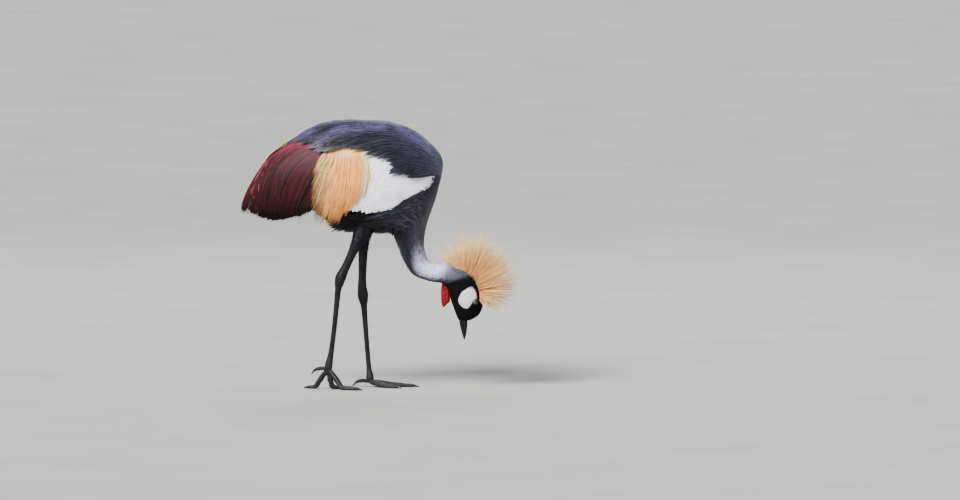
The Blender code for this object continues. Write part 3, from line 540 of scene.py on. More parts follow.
def levels(count, rows, *marks):
    """Heights along feathers, taken evenly between the marks. A mark is a number or one for each feather."""
    v = np.linspace(0, 1, rows)
    knots = np.linspace(0, 1, len(marks))
    table = np.stack([np.broadcast_to(mark, count) for mark in marks], axis=1)
    return np.stack([np.interp(v, knots, row) for row in table])


def outline(rows, peak, blunt):
    """Half width of a feather along its rows: it swells to its peak and then tapers to its tip."""
    v = np.linspace(0, 1, rows)
    rise = np.sin(np.clip(v / peak, 0, 1) * math.pi / 2) ** 0.6
    fall = np.cos(np.clip((v - peak) / (1 - peak), 0, 1) * math.pi / 2) ** blunt
    return np.maximum(rise * fall, 0.05)


def widths(draw, span, count, rows, peak, blunt):
    """Half widths along feathers of one outline, each feather's widest a number in the span."""
    return draw.uniform(*span, count)[:, None] * outline(rows, peak, blunt)


def mottled(draw, colours, span, rows):
    """Tints along feathers from a colour for each, lighter or darker by a number in the span."""
    return np.repeat(colours[:, None], rows, axis=1) * draw.uniform(*span, (len(colours), 1, 1))


def sow(form, first, last, row_gap, gap, draw):
    """Roots in staggered rows over a stretch of a form, as evenly spread as they grow."""
    stations = []
    angles = []
    t = first
    row = 0
    fine = np.linspace(-math.pi, math.pi, 90)
    while t < last:
        here, along, _, _ = surface(form, np.full(90, t), fine, 0.0)
        speed = np.linalg.norm(along, axis=-1)
        reach = np.concatenate([[0.0], np.cumsum(np.linalg.norm(np.diff(here, axis=0), axis=-1))])
        count = max(int(reach[-1] / gap), 1)
        marks = (np.arange(count) + 0.25 + 0.5 * (row % 2) + draw.uniform(-0.3, 0.3, count)) / count
        spots = np.interp(marks * reach[-1], reach, fine)
        keep = draw.random(count) < np.interp(spots, fine, speed) / speed.max()
        stations.append((t + draw.uniform(-0.3, 0.3, count) * row_gap / speed.max())[keep])
        angles.append(spots[keep])
        t += row_gap / speed.max()
        row += 1
    return np.concatenate(stations), np.concatenate(angles)


def lay(name, feather, lines, half_width, tint, finish, slot, *nodes, camber=0.12, roll=0.0, depth=1.0):
    """Joins copies of one feather into a piece, with one copy laid along each centre line.

    Half widths and tints are given for each row of each feather. Every feather has its own small patch of the
    map for baking, at the place of its root on the hide rolled out flat.
    """
    centres, outs, (root_t, root_angle) = lines
    count, rows = centres.shape[:2]

    def repeat(holder):
        array = holder.modifiers.new("array", "ARRAY")
        array.count = count
        array.use_relative_offset = False

    data = applied(name, feather, repeat)
    spots = np.empty(len(data.vertices) * 3)
    data.vertices.foreach_get("co", spots)
    shape = spots.reshape(count, -1, 3)[0]
    row = shape[:, 1] * (rows - 1)
    lower = np.clip(np.floor(row + 1e-6).astype(int), 0, rows - 2)
    share = (row - lower)[:, None]

    def read(values):
        return values[:, lower] * (1 - share) + values[:, lower + 1] * share

    along = unit(np.gradient(centres, axis=1))
    across = unit(np.cross(along, outs))
    tilt = np.broadcast_to(roll, count)[:, None, None]
    side = read(across * np.cos(tilt) + outs * np.sin(tilt))
    up = read(outs * np.cos(tilt) - across * np.sin(tilt))
    width = read(half_width[..., None])
    x = shape[:, 0:1]
    thick = FEATHER_DEPTH * depth * shape[:, 2:3] if camber is not None else width * shape[:, 2:3]
    sag = (camber or 0.0) * x * x * width
    places = read(centres) + side * (x * width) + up * (thick - sag)
    data.vertices.foreach_set("co", places.ravel())
    colours = np.ones((count, len(shape), 4))
    colours[..., :3] = np.clip(read(tint), 0.0, 1.0)
    data.color_attributes.new(name="tint", type="FLOAT_COLOR", domain="POINT")
    data.color_attributes["tint"].data.foreach_set("color", colours.ravel())
    corners = np.empty(len(data.loops), dtype=int)
    data.loops.foreach_get("vertex_index", corners)
    plan = shape[:, :2] * (0.5, 1.0) + (0.5, 0.0)
    roots = np.stack([0.5 + root_angle / math.tau, root_t / FORM_END], axis=-1) * 0.99 + 0.005
    maps = {"OFBake": roots[:, None] + (plan - 0.5)[None] * OWN_PATCH, "vane": np.tile(plan, (count, 1, 1))}
    for title, spread in maps.items():
        data.uv_layers.new(name=title).data.foreach_set("uv", spread.reshape(-1, 2)[corners].ravel())
    data.update()
    dress(name, data, finish, slot, *nodes)


def parted(tree, vector):
    return put(tree, "ShaderNodeSeparateXYZ", {0: vector}).outputs


def plumage(name, roughness, sheen, shaft, edge, streak, barbs, slant, gloss=(1.0, 1.0, 1.0), specular=0.18):
    """The finish of feathers: barbs that slant from a shaft, a fringe, and a slow change over the bird.

    Shaft and edge are how far the shaft and the fringe go towards a much lighter tint, or black below 0.
    """
    made, tree, place = begin(name, roughness, specular, Sheen_Weight=sheen, Sheen_Tint=(*gloss, 1.0))
    tint = own_tint(tree)
    vane, own = [
        parted(tree, put(tree, "ShaderNodeUVMap", uv_map=title).outputs["UV"]) for title in ("vane", "OFBake")
    ]
    across = reckon(tree, "ABSOLUTE", reckon(tree, "SUBTRACT", reckon(tree, "MULTIPLY", vane[0], 2.0), 1.0))
    slope = reckon(tree, "MULTIPLY", across, slant)
    run = reckon(tree, "SUBTRACT", reckon(tree, "MULTIPLY", vane[1], barbs), slope)
    lot = reckon(tree, "MULTIPLY", own[0], 900.0)
    grain = put(tree, "ShaderNodeCombineXYZ", {0: run, 1: reckon(tree, "MULTIPLY", across, 1.5), 2: lot})
    barb = noise(tree, grain.outputs[0], 1.0, 2.0)
    cloud = noise(tree, place, 38.0)
    shade = mixed(tree, ramped(tree, barb, 0.3, 0.7, streak, 0.0), tint, BLACK)
    shade = mixed(tree, ramped(tree, cloud, 0.35, 0.75, 0.0, 0.22), shade, BLACK)
    light = mixed(tree, 1.0, tint, (4.0, 4.0, 4.0), "MULTIPLY")
    for amount, *span in ((edge, 0.55, 1.0, 0.0, abs(edge)), (shaft, 0.05, 0.16, abs(shaft), 0.0)):
        if amount:
            shade = mixed(tree, ramped(tree, across, *span), shade, light if amount > 0 else BLACK)
    return finished(made, shade, barb, (roughness + 0.1, roughness - 0.08), barb, 0.0003, 0.35)


def tailward(fall, spread=0.0):
    """An aim along the body towards the tail, that turns down round the flanks by fall."""

    def aim(here, along, around):
        turn = -np.sign(here[:, 1:2]) * unit(around)
        wander = np.random.default_rng(len(here)).normal(0.0, spread, here.shape)
        return -unit(along) + turn * fall + wander

    return aim


draw = np.random.default_rng(11)
root_t, root_angle = sow(body_form, *BODY_COAT, BODY_ROW_GAP, BODY_FEATHER_GAP, draw)
spots = body_form(root_t, root_angle, 0.5)
turn = np.abs(root_angle)
covered = spots[:, 2] < np.interp(spots[:, 0], *np.transpose(WING_TOP))
covered &= spots[:, 2] > np.interp(spots[:, 0], *np.transpose(WING_FOOT))
covered |= (turn > UNDER_RUMP[0]) & (root_t < UNDER_RUMP[1])
covered |= (turn > CREASE[0]) & (root_t > CREASE[1])
root_t, root_angle = root_t[~covered], root_angle[~covered]
count = len(root_t)
length = draw.uniform(*BODY_FEATHER_LENGTH, count)
heights = levels(count, 7, -0.1, 0.40, draw.uniform(0.5, 0.75, count))
lines = walk(hide_form, root_t, root_angle, tailward(0.25, 0.10), length, heights)
half_width = widths(draw, BODY_FEATHER_HALF_WIDTH, count, 7, 0.55, 0.6)
tint = mottled(draw, plumage_colour(root_t, root_angle), (0.75, 1.2), 7)
dark_down = plumage("body_feathers", 0.62, 0.05, 0.10, -0.4, 0.25, 60.0, 18.0, (0.75, 0.75, 1.0))
roll = draw.normal(0, 0.1, count)
lay("body_coat", flat_feather(2, 6), lines, half_width, tint, dark_down, "slate_feathers", roll=roll)


# The mantle: the long grey feathers of the back and shoulders, which lie in rows over the upper edge of the
# folded wing and end in a loose silky fringe. The lowest row's tips follow the edge that shows on the living
# bird, and each row above it is laid over the one below.

# Where the lowest tips show from the side, x and z, from the rump to the wrist of the wing
MANTLE_EDGE = [
    (-0.222, 0.556), (-0.192, 0.566), (-0.166, 0.556), (-0.141, 0.550), (-0.117, 0.556), (-0.091, 0.561),
    (-0.066, 0.558), (-0.038, 0.549), (-0.010, 0.540), (0.014, 0.531), (0.030, 0.519), (0.038, 0.511),
    (0.022, 0.504), (0.045, 0.497), (0.066, 0.493), (0.086, 0.500), (0.104, 0.514), (0.122, 0.532),
]
MANTLE_ROWS = 11
MANTLE_FEATHERS = 96
MANTLE_HALF_WIDTH = (0.0056, 0.0086)
SILK_COUNT = 2900
SILK_HALF_WIDTH = (0.0009, 0.0019)
# The lavender of the painted highlights on the mantle's slate
SLATE_HIGHLIGHT = (0.090, 0.080, 0.170)
# Soft strokes of painted highlight and painted shade along the folds: x and z of each, its half width and
# how far it is lighter
MANTLE_PAINTED_FOLDS = [
    ([(-0.110, 0.596), (-0.095, 0.601), (-0.078, 0.605)], 0.0040, 1.00),
    ([(-0.152, 0.558), (-0.123, 0.580), (-0.097, 0.592), (-0.052, 0.602), (0.012, 0.607)], 0.0075, 0.55),
    ([(-0.190, 0.575), (-0.172, 0.585), (-0.150, 0.594)], 0.0070, 0.60),
    ([(0.045, 0.601), (0.090, 0.575), (0.135, 0.535), (0.146, 0.505)], 0.0090, 0.60),
    ([(-0.146, 0.590), (-0.130, 0.598), (-0.112, 0.606)], 0.0035, -0.80),
    ([(-0.125, 0.566), (-0.098, 0.568), (-0.052, 0.581), (0.000, 0.588)], 0.0040, -0.70),
    ([(-0.100, 0.560), (-0.020, 0.556), (0.040, 0.535), (0.075, 0.505)], 0.0160, -0.60),
]


def seen(x, z, first=0.0, last=12.0):
    """The stations and angles of the places on the right flank's coat that are seen at x and z."""
    x, z = np.asarray(x, dtype=float), np.asarray(z, dtype=float)
    marks = np.arange(first, last, 0.05)
    section = along_curve(SECTIONS, marks)
    up = upright(section)[1]
    off = (x[:, None] - section[:, 0]) * up[:, 1] - (z[:, None] - section[:, 1]) * up[:, 0]
    index = ((off[:, :-1] > 0) & (off[:, 1:] <= 0)).argmax(axis=1)
    before = np.take_along_axis(off, index[:, None], 1)[:, 0]
    after = np.take_along_axis(off, index[:, None] + 1, 1)[:, 0]
    t = marks[index] + 0.05 * before / (before - after)
    section = along_curve(SECTIONS, t)
    _, up, half = upright(section)
    along = ((x - section[:, 0]) * up[:, 0] + (z - section[:, 1]) * up[:, 1] - half) / (half + section[:, 7])
    return t, np.arccos(signed_power(np.clip(along, -1.0, 1.0), 1 / section[:, 6]))


def either_side(draw, count):
    """1 for the right side or -1 for the left one, by chance."""
    return np.where(draw.random(count) < 0.5, 1.0, -1.0)


def on_side(side, *places):
    return [(t, side * angle) for t, angle in places]


def glide(form, root, bend, tip, heights):
    """Lays the centre lines of feathers over a form through three places each: root, bend and tip."""
    v = np.linspace(0, 1, heights.shape[1])
    shares = ((1 - v) * (1 - 2 * v), 4 * v * (1 - v), v * (2 * v - 1))
    pull = list(zip((root, bend, tip), shares))
    t = sum(place[0][:, None] * share for place, share in pull)
    angle = sum(place[1][:, None] * share for place, share in pull)
    here, _, _, out = surface(form, t, angle, heights)
    return here, out, root


def stray(lines, draw, sideways, outwards=0.0):
    """The lines with their tips drifted a little sideways and outwards, each by its own amount."""
    centres, outs, roots = lines
    count, rows = centres.shape[:2]
    v = np.linspace(0, 1, rows)[None, :, None] ** 1.6
    across = unit(np.cross(unit(np.gradient(centres, axis=1)), outs))
    shift = draw.normal(0.0, sideways, (count, 1, 1)) * across
    lift = np.abs(draw.normal(0.0, outwards, (count, 1, 1))) * outs
    return centres + (shift + lift) * v, outs, roots


def painted_fold_light(x, z, folds):
    """How much painted highlight, or painted shade below 0, the folds give each place that is seen at x and
    z.
    """
    change = np.zeros(np.shape(x))
    for marks, half_width, gain in folds:
        line = along_curve(marks, np.linspace(0, len(marks) - 1, 40))
        away = np.hypot(x[..., None] - line[:, 0], z[..., None] - line[:, 1]).min(axis=-1)
        change += gain * np.exp(-((away / half_width) ** 2))
    return np.clip(change, -0.9, 1.0)


def mantle_tint(draw, centres):
    """The slate of each row of the mantle's feathers, with painted highlights and painted shade along its
    folds.
    """
    change = painted_fold_light(centres[..., 0], centres[..., 2], MANTLE_PAINTED_FOLDS)
    # A little painted highlight all over, more along the lit folds, and painted shade darkening the clefts
    shade = blend(MANTLE_SLATE, SLATE_HIGHLIGHT, np.clip(change + 0.12, 0.0, 1.0))
    shade = shade * (1 + 0.85 * np.minimum(change, 0.0))[..., None]
    return shade * draw.uniform(0.78, 1.18, (len(centres), 1, 1))


def mantle_places(draw, rise):
    """Roots, bends and tips of mantle feathers on both sides, risen from the edge at 0 to the ridge at 1."""
    count = len(rise)
    share = draw.random(count)
    side = either_side(draw, count)
    spot = along_curve(MANTLE_EDGE, share * (len(MANTLE_EDGE) - 1))
    tip_t, tip_angle = seen(spot[:, 0], spot[:, 1])
    front = smooth(0.50, 0.95, share)
    tip_angle = tip_angle * (1 - rise) + draw.normal(0, 0.012, count)
    tip_t = tip_t + rise * (0.45 - 0.35 * front) + draw.normal(0, 0.05, count)
    reach = draw.uniform(1.55, 2.15, count) * (1 - 0.30 * front)
    root_t = np.minimum(tip_t + reach, 9.75 + 0.2 * rise - 0.68 * front * (1 - rise))
    root_angle = tip_angle * (0.50 - 0.05 * front)
    bend = (0.5 * (root_t + tip_t), root_angle * 0.36 + tip_angle * 0.64)
    return on_side(side, (root_t, root_angle), bend, (tip_t, tip_angle))


draw = np.random.default_rng(23)
rise = np.arange(2 * MANTLE_ROWS * MANTLE_FEATHERS) % MANTLE_ROWS / MANTLE_ROWS
count = len(rise)
heights = levels(count, 9, 0.55, 1.20, 1.52 + 0.25 * rise, 1.68 + 0.25 * rise)
lines = stray(glide(body_form, *mantle_places(draw, rise), heights), draw, 0.003)
half_width = widths(draw, MANTLE_HALF_WIDTH, count, 9, 0.45, 0.85)
slate = plumage("mantle_feathers", 0.42, 0.30, 0.08, 0.05, 0.30, 40.0, 26.0, (0.72, 0.70, 1.0), 0.30)
tint = mantle_tint(draw, lines[0])
roll = draw.normal(0, 0.04, count)
lay("mantle", flat_feather(2, 8), lines, half_width, tint, slate, "slate_feathers", camber=0.14, roll=roll)

rise = draw.random(SILK_COUNT)
heights = levels(SILK_COUNT, 8, 0.9, 1.45, 1.76 + 0.25 * rise, 1.86 + 0.25 * rise)
lines = stray(glide(body_form, *mantle_places(draw, rise), heights), draw, 0.006, 0.0012)
half_width = widths(draw, SILK_HALF_WIDTH, SILK_COUNT, 8, 0.35, 1.0)
tint = mantle_tint(draw, lines[0]) * draw.uniform(0.6, 1.5, (SILK_COUNT, 1, 1))
lay("mantle_silk", flat_feather(2, 7), lines, half_width, tint, slate, "slate_feathers", camber=0.3)


# The feathers of the neck, small and narrow, each lying over the next towards the body: charcoal along the
# throat, grey with pale edges behind, and almost white along the nape above the bend.

NECK_COAT = (9.5, 17.3)
NECK_ROW_GAP = 0.0042
NECK_GAP = 0.0029
# Only the lower neck, up to this station, has pale edges, and not on the throat
EDGED_UP_TO = 13.5

draw = np.random.default_rng(31)
root_t, root_angle = sow(body_form, *NECK_COAT, NECK_ROW_GAP, NECK_GAP, draw)
bare = (np.abs(root_angle) >= CREASE[0]) & (root_t <= CREASE[2])
root_t, root_angle = root_t[~bare], root_angle[~bare]
count = len(root_t)
size = 1 - smooth(10.5, 15.5, root_t)
length = (0.010 + 0.014 * size) * draw.uniform(0.85, 1.2, count)
heights = levels(count, 6, 0.0, 0.55, draw.uniform(0.85, 1.05, count))
lines = walk(body_form, root_t, root_angle, tailward(0.10), length, heights)
lines = stray(lines, draw, 0.0006, 0.0004)
half_width = ((0.0016 + 0.0022 * size) * draw.uniform(0.85, 1.15, count))[:, None] * outline(6, 0.45, 0.8)
tint = mottled(draw, plumage_colour(root_t, root_angle), (0.84, 1.14), 6)
edged = (np.cos(root_angle) > -0.2) & (root_t < EDGED_UP_TO)
tint[edged] = tint[edged] * np.linspace(0.60, 1.40, 6)[None, :, None]
neck_finish = plumage("neck_feathers", 0.60, 0.12, 0.10, 0.16, 0.30, 30.0, 14.0, (0.85, 0.85, 1.0))
roll = draw.normal(0, 0.12, count)
lay("neck_coat", flat_feather(2, 5), lines, half_width, tint, neck_finish, "neck_feathers", roll=roll)


# The long pointed plumes at the base of the neck. They leave the chest in curved ranks, sweep down and back
# below the white of the wing, and show a pale shaft and pale edges on nearly black vanes.

CHEST_PLUMES = 1150
CHEST_HALF_WIDTH = (0.0030, 0.0050)
CHEST_DARK = (0.0125, 0.0120, 0.0190)
CHEST_ROOTS = (9.62, 11.3)
CHEST_ANGLES = (0.45, 2.25)
# The lower edge of the wing's white, x and z, from the wrist back
COVERT_EDGE = [
    (0.1130, 0.474), (0.0960, 0.464), (0.0760, 0.452), (0.0500, 0.434), (0.0215, 0.417), (-0.0205, 0.408),
    (-0.0550, 0.412), (-0.0900, 0.416),
]


def between(span, share):
    """A share of the way from the first of two values to the second."""
    return span[0] + (span[1] - span[0]) * share


def below_white(x, z, gap):
    """Heights of places, kept the gap below the lower edge of the wing's white."""
    return np.minimum(z, np.interp(x, *np.transpose(COVERT_EDGE[::-1])) - gap)


def chest_places(draw, count, side):
    """Roots, bends and tips of the chest's plumes, whose tips fan out along the lower edge of the wing."""
    turn = draw.uniform(*CHEST_ANGLES, count)
    late = draw.random(count)
    root_t = between(CHEST_ROOTS, late) + 0.25 * smooth(0.9, 0.4, turn)
    degrees = np.degrees(turn)
    root = body_form(root_t, turn, 0.5)
    tip_x = 0.062 - 0.0016 * (degrees - 40) + 0.016 * late + draw.normal(0, 0.010, count)
    tip_z = 0.450 - 0.0011 * (degrees - 40) - 0.040 * late + draw.normal(0, 0.004, count)
    tip_x = np.maximum(tip_x, -0.095)
    tip_z = np.clip(below_white(tip_x, tip_z, 0.002), 0.366, 0.470)
    bend_x = 0.5 * (root[:, 0] + tip_x)
    bend_z = below_white(bend_x, 0.5 * (root[:, 2] + tip_z) + 0.006, 0.001)
    return on_side(side, (root_t, turn), seen(bend_x, bend_z), seen(tip_x, tip_z))


draw = np.random.default_rng(37)
side = np.where(np.arange(CHEST_PLUMES) % 2 == 0, 1.0, -1.0)
places = chest_places(draw, CHEST_PLUMES, side)
top = draw.uniform(0.75, 1.15, CHEST_PLUMES)
lines = stray(glide(body_form, *places, levels(CHEST_PLUMES, 10, 0.2, top, top + 0.1)), draw, 0.0025)
half_width = widths(draw, CHEST_HALF_WIDTH, CHEST_PLUMES, 10, 0.35, 1.1)
turn = np.abs(places[0][1])
tint = mottled(draw, blend(CHEST_DARK, BELLY_BLACK, smooth(1.2, 2.0, turn)), (0.25, 1.4), 10)
tint = tint * np.linspace(2.0, 0.8, 10)[None, :, None]
streaked = (draw.random(CHEST_PLUMES) < 0.30) * smooth(2.1, 1.2, turn)
tint = tint * (1 + 1.1 * streaked[:, None, None])
chest_finish = plumage("chest_plumes", 0.45, 0.08, 1.0, 0.85, 0.35, 60.0, 20.0, (0.85, 0.85, 1.0))
roll = draw.normal(0, 0.12, CHEST_PLUMES)
lay(
    "chest_plumes", flat_feather(4, 9), lines, half_width, tint, chest_finish, "slate_feathers",
    camber=0.30, roll=roll,
)


# The belly's long soft black feathers, which hang a little below the body, with a loose tuft behind the
# thighs, and the close dark feathers that clothe each thigh down to where the bare leg starts.

BELLY_TUFTS = 1500
BELLY_STATIONS = (4.95, 9.2)
BELLY_TURN = 1.15
BELLY_LENGTH = (0.028, 0.048)
BELLY_HALF_WIDTH = (0.0022, 0.0046)
THIGH_LENGTH = (0.012, 0.019)
THIGH_HALF_WIDTH = (0.0016, 0.0026)
THIGH_BLACK = (0.0060, 0.0055, 0.0080)


def belly_aim(here, along, around):
    return np.array([-1.0, 0.0, -0.25]) + np.random.default_rng(len(here)).normal(0.0, 0.10, here.shape)


def downward(here, along, around):
    return unit(along) + np.array([-0.15, 0.0, 0.0])


draw = np.random.default_rng(41)
root_t = draw.uniform(*BELLY_STATIONS, BELLY_TUFTS)
root_angle = math.pi + BELLY_TURN * np.tanh(draw.normal(0.0, 0.55, BELLY_TUFTS))
root_angle = (root_angle + math.pi) % math.tau - math.pi
droop = draw.random(BELLY_TUFTS) ** 3 * 0.010
droop += 0.014 * draw.random(BELLY_TUFTS) * smooth(5.7, 5.0, root_t) * (np.abs(root_angle) > 2.5)
top = draw.uniform(0.7, 1.1, BELLY_TUFTS)
length = draw.uniform(*BELLY_LENGTH, BELLY_TUFTS)
lines = walk(hide_form, root_t, root_angle, belly_aim, length, levels(BELLY_TUFTS, 7, -0.1, 0.5, top))
lines[0][..., 2] -= np.linspace(0, 1, 7)[None, :] ** 2 * droop[:, None]
half_width = widths(draw, BELLY_HALF_WIDTH, BELLY_TUFTS, 7, 0.4, 1.0)
tint = mottled(draw, np.full((BELLY_TUFTS, 3), BELLY_BLACK), (0.6, 1.8), 7)
black_finish = plumage("black_feathers", 0.55, 0.03, 0.05, 0.05, 0.35, 40.0, 16.0, (0.8, 0.8, 1.0), 0.15)
lay("belly_tufts", flat_feather(2, 6), lines, half_width, tint, black_finish, "black_feathers")

for side, stations in LEGS.items():
    form = limb_form(stations)
    root_t, root_angle = sow(form, 0.6, THIGH_END - 0.35, 0.0055, 0.0040, draw)
    count = len(root_t)
    length = draw.uniform(*THIGH_LENGTH, count)
    heights = levels(count, 6, -1.2, 0.2, draw.uniform(0.3, 0.9, count))
    lines = stray(walk(form, root_t, root_angle, downward, length, heights), draw, 0.0008, 0.0007)
    half_width = widths(draw, THIGH_HALF_WIDTH, count, 6, 0.45, 0.8)
    tint = mottled(draw, np.full((count, 3), THIGH_BLACK), (0.5, 1.6), 6)
    lay("thigh_coat_" + side, flat_feather(2, 5), lines, half_width, tint, black_finish, "black_feathers")


# The velvet of the head: tiny dense black feathers that stand like plush on the forehead, the crown and the
# throat. They leave bare the white cheek, the ring of the eye and the root of the bill.

VELVET_ROW_GAP = 0.0016
VELVET_GAP = 0.00125
VELVET_COAT = (16.6, 23.9)
VELVET_LENGTH = 0.0044
VELVET_HALF_WIDTH = (0.0006, 0.0009)
CHEEK_CENTRE = (0.2042, 0.2100)
# The edge of the bare cheek, x and z, once round it
CHEEK_EDGE = [
    (0.2143, 0.2368), (0.2230, 0.2281), (0.2262, 0.2160), (0.2255, 0.2056), (0.2168, 0.2019),
    (0.2118, 0.1957), (0.2019, 0.1849), (0.1918, 0.1881), (0.1840, 0.1960), (0.1814, 0.2026),
    (0.1856, 0.2155), (0.1993, 0.2293),
]
# The cheeks are bare only further out than this from the middle of the head
CHEEK_INSIDE = 0.010
EYE = Vector((0.2190, -0.0165, 0.2000))
EYE_FACING = Vector((0.34, -0.94, 0.0)).normalized()
EYE_OPENING = EYE + EYE_FACING * 0.0058
LID_REACH = 0.0076


def cheek_reach(x, z):
    """How far out of the cheek's centre a place is, as a share of the way to the cheek's edge."""
    edge = np.array(CHEEK_EDGE) - CHEEK_CENTRE
    turns = np.arctan2(edge[:, 1], edge[:, 0])
    order = np.argsort(turns)
    turns = np.concatenate([turns[order] - math.tau, turns[order], turns[order] + math.tau])
    reach = np.tile(np.hypot(edge[:, 0], edge[:, 1])[order], 3)
    across, rise = x - CHEEK_CENTRE[0], z - CHEEK_CENTRE[1]
    return np.hypot(across, rise) / np.interp(np.arctan2(rise, across), turns, reach)


def eye_distance(spots):
    """How far places are from the middle of the nearer eye's opening."""
    folded = np.stack([spots[..., 0], -np.abs(spots[..., 1]), spots[..., 2]], axis=-1)
    return np.linalg.norm(folded - np.array(EYE_OPENING), axis=-1)


draw = np.random.default_rng(43)
root_t, root_angle = sow(body_form, *VELVET_COAT, VELVET_ROW_GAP, VELVET_GAP, draw)
spots = body_form(root_t, root_angle, 0.0)
tips = body_form(root_t - 0.3, root_angle, 0.5)
bare = (cheek_reach(spots[:, 0], spots[:, 2]) < 1.0) | (cheek_reach(tips[:, 0], tips[:, 2]) < 0.97)
bare &= np.abs(spots[:, 1]) > CHEEK_INSIDE
bare |= eye_distance(spots) < LID_REACH
root_t, root_angle = root_t[~bare], root_angle[~bare]
count = len(root_t)
size = 0.75 + 0.5 * smooth(0.2, 1.0, np.cos(root_angle))
heights = levels(count, 4, 0.0, 0.62, 0.85 * size)
lines = walk(body_form, root_t, root_angle, tailward(0.05, 0.10), VELVET_LENGTH * size, heights)
lines = stray(lines, draw, 0.0004, 0.0002)
half_width = (draw.uniform(*VELVET_HALF_WIDTH, count) * size)[:, None] * outline(4, 0.4, 0.8)
tint = mottled(draw, plumage_colour(root_t, root_angle), (0.5, 1.6), 4)
velvet_finish = plumage("velvet", 0.80, 0.03, 0.0, 0.0, 0.3, 20.0, 8.0, (0.7, 0.7, 1.0), 0.10)
lay("velvet", flat_feather(2, 3), lines, half_width, tint, velvet_finish, "black_feathers")


# The bare cheeks: a white pear-shaped patch of skin on each side of the head, a little proud of the velvet,
# finely wrinkled with painted shade in the creases, and a narrow dark red border towards the crown.

# Heights of the plate's foot, of its rim and of its middle
CHEEK_HEIGHTS = (-0.5, 0.55, 1.05)
CHEEK_WHITE = (0.60, 0.59, 0.61)
CHEEK_RED = (0.13, 0.003, 0.006)
CHEEK_RIM = (0.10, 0.08, 0.09)


def round_plate(columns, rows):
    """A round plate of radius 1 with two faces: z is 1 on its upper face and 0 on its lower one."""
    mesh = bmesh.new()
    bmesh.ops.create_grid(mesh, x_segments=columns, y_segments=rows, size=0.5)
    for vert in mesh.verts:
        turn = vert.co.x * math.tau
        reach = vert.co.y + 0.5
        vert.co = (reach * math.cos(turn), reach * math.sin(turn), 0.0)
    bmesh.ops.remove_doubles(mesh, verts=mesh.verts[:], dist=1e-6)
    raised = thickened(mesh)
    for vert, upper in zip(mesh.verts, raised):
        vert.co.z = float(upper)
    return mesh


def mirror_over(mesh):
    """Adds the mirror image of a right-hand shape for the left side."""
    everything = mesh.verts[:] + mesh.edges[:] + mesh.faces[:]
    bmesh.ops.mirror(mesh, geom=everything, axis="Y", merge_dist=-1.0)
    return closed_up(mesh)


def cheek_finish():
    flesh = {"Subsurface_Weight": 0.15, "Subsurface_Radius": (0.002, 0.001, 0.0006)}
    made, tree, place = begin("cheek_skin", 0.50, **flesh)
    wrinkle = noise(tree, place, 900.0, 4.0, 0.65)
    # Painted shade in the creases of the wrinkles, which are also a little pinker there
    crease = ramped(tree, wrinkle, 0.40, 0.75, 0.0, 0.30)
    shade = mixed(tree, crease, own_tint(tree), (0.50, 0.42, 0.42), "MULTIPLY")
    relief = reckon(tree, "ADD", wrinkle, cells(tree, place, 1400.0))
    return finished(made, shade, wrinkle, (0.42, 0.62), relief)


cheek = round_plate(96, 18)
flat = np.array([tuple(vert.co) for vert in cheek.verts])
turn = np.arctan2(flat[:, 1], flat[:, 0])
way = np.stack([np.cos(turn), np.sin(turn)], axis=-1)
reach = np.hypot(flat[:, 0], flat[:, 1])
near = np.array(CHEEK_CENTRE) + way * 0.001
scale = 0.001 / cheek_reach(near[:, 0], near[:, 1])
spot = np.array(CHEEK_CENTRE) + (scale * reach)[:, None] * way
cheek_t, cheek_angle = seen(spot[:, 0], spot[:, 1], 15.5, 23.5)
dome = between(CHEEK_HEIGHTS[1:], 1 - smooth(0.55, 1.0, reach))
ripple = 0.05 * np.sin(reach * 21.0 + 2.0 * np.sin(turn * 3)) * reach
height = np.where(flat[:, 2] > 0.5, dome + ripple, CHEEK_HEIGHTS[0])
crownward = smooth(0.2, 0.9, np.cos(turn - 0.45)) * smooth(0.80, 0.97, reach)
tints = blend(blend(CHEEK_WHITE, CHEEK_RED, crownward), CHEEK_RIM, 0.8 * smooth(0.93, 1.0, reach))
cheek = shaped(cheek, body_form(cheek_t, cheek_angle, height), tints)
dress("cheeks", mirror_over(cheek), cheek_finish(), "neck_feathers")


# The eyes sit deep in the velvet at the front edge of the white cheek: pale blue-grey irises round black
# pupils, under a clear wet cornea, each in a ring of dark folded lids.

EYE_RADIUS = 0.0085
CORNEA_BULGE = 0.0006
IRIS_RADIUS = 0.0044
PUPIL_RADIUS = 0.0027
IRIS_DARK = (0.030, 0.042, 0.055)
IRIS_PALE = (0.085, 0.105, 0.125)
IRIS_RIM = (0.015, 0.018, 0.025)
EYE_WHITE = (0.020, 0.018, 0.020)
LID_DARK = (0.0015, 0.0015, 0.0020)
LID_GREY = (0.0060, 0.0055, 0.0070)
# Radius of each ring of the lids, its thickness, and how far out it sits
LID_RINGS = [(0.0056, 0.0010, 0.0060), (0.0068, 0.0007, 0.0052)]


def vector(tree, operation, *values):
    return put(tree, "ShaderNodeVectorMath", dict(enumerate(values)), operation=operation)


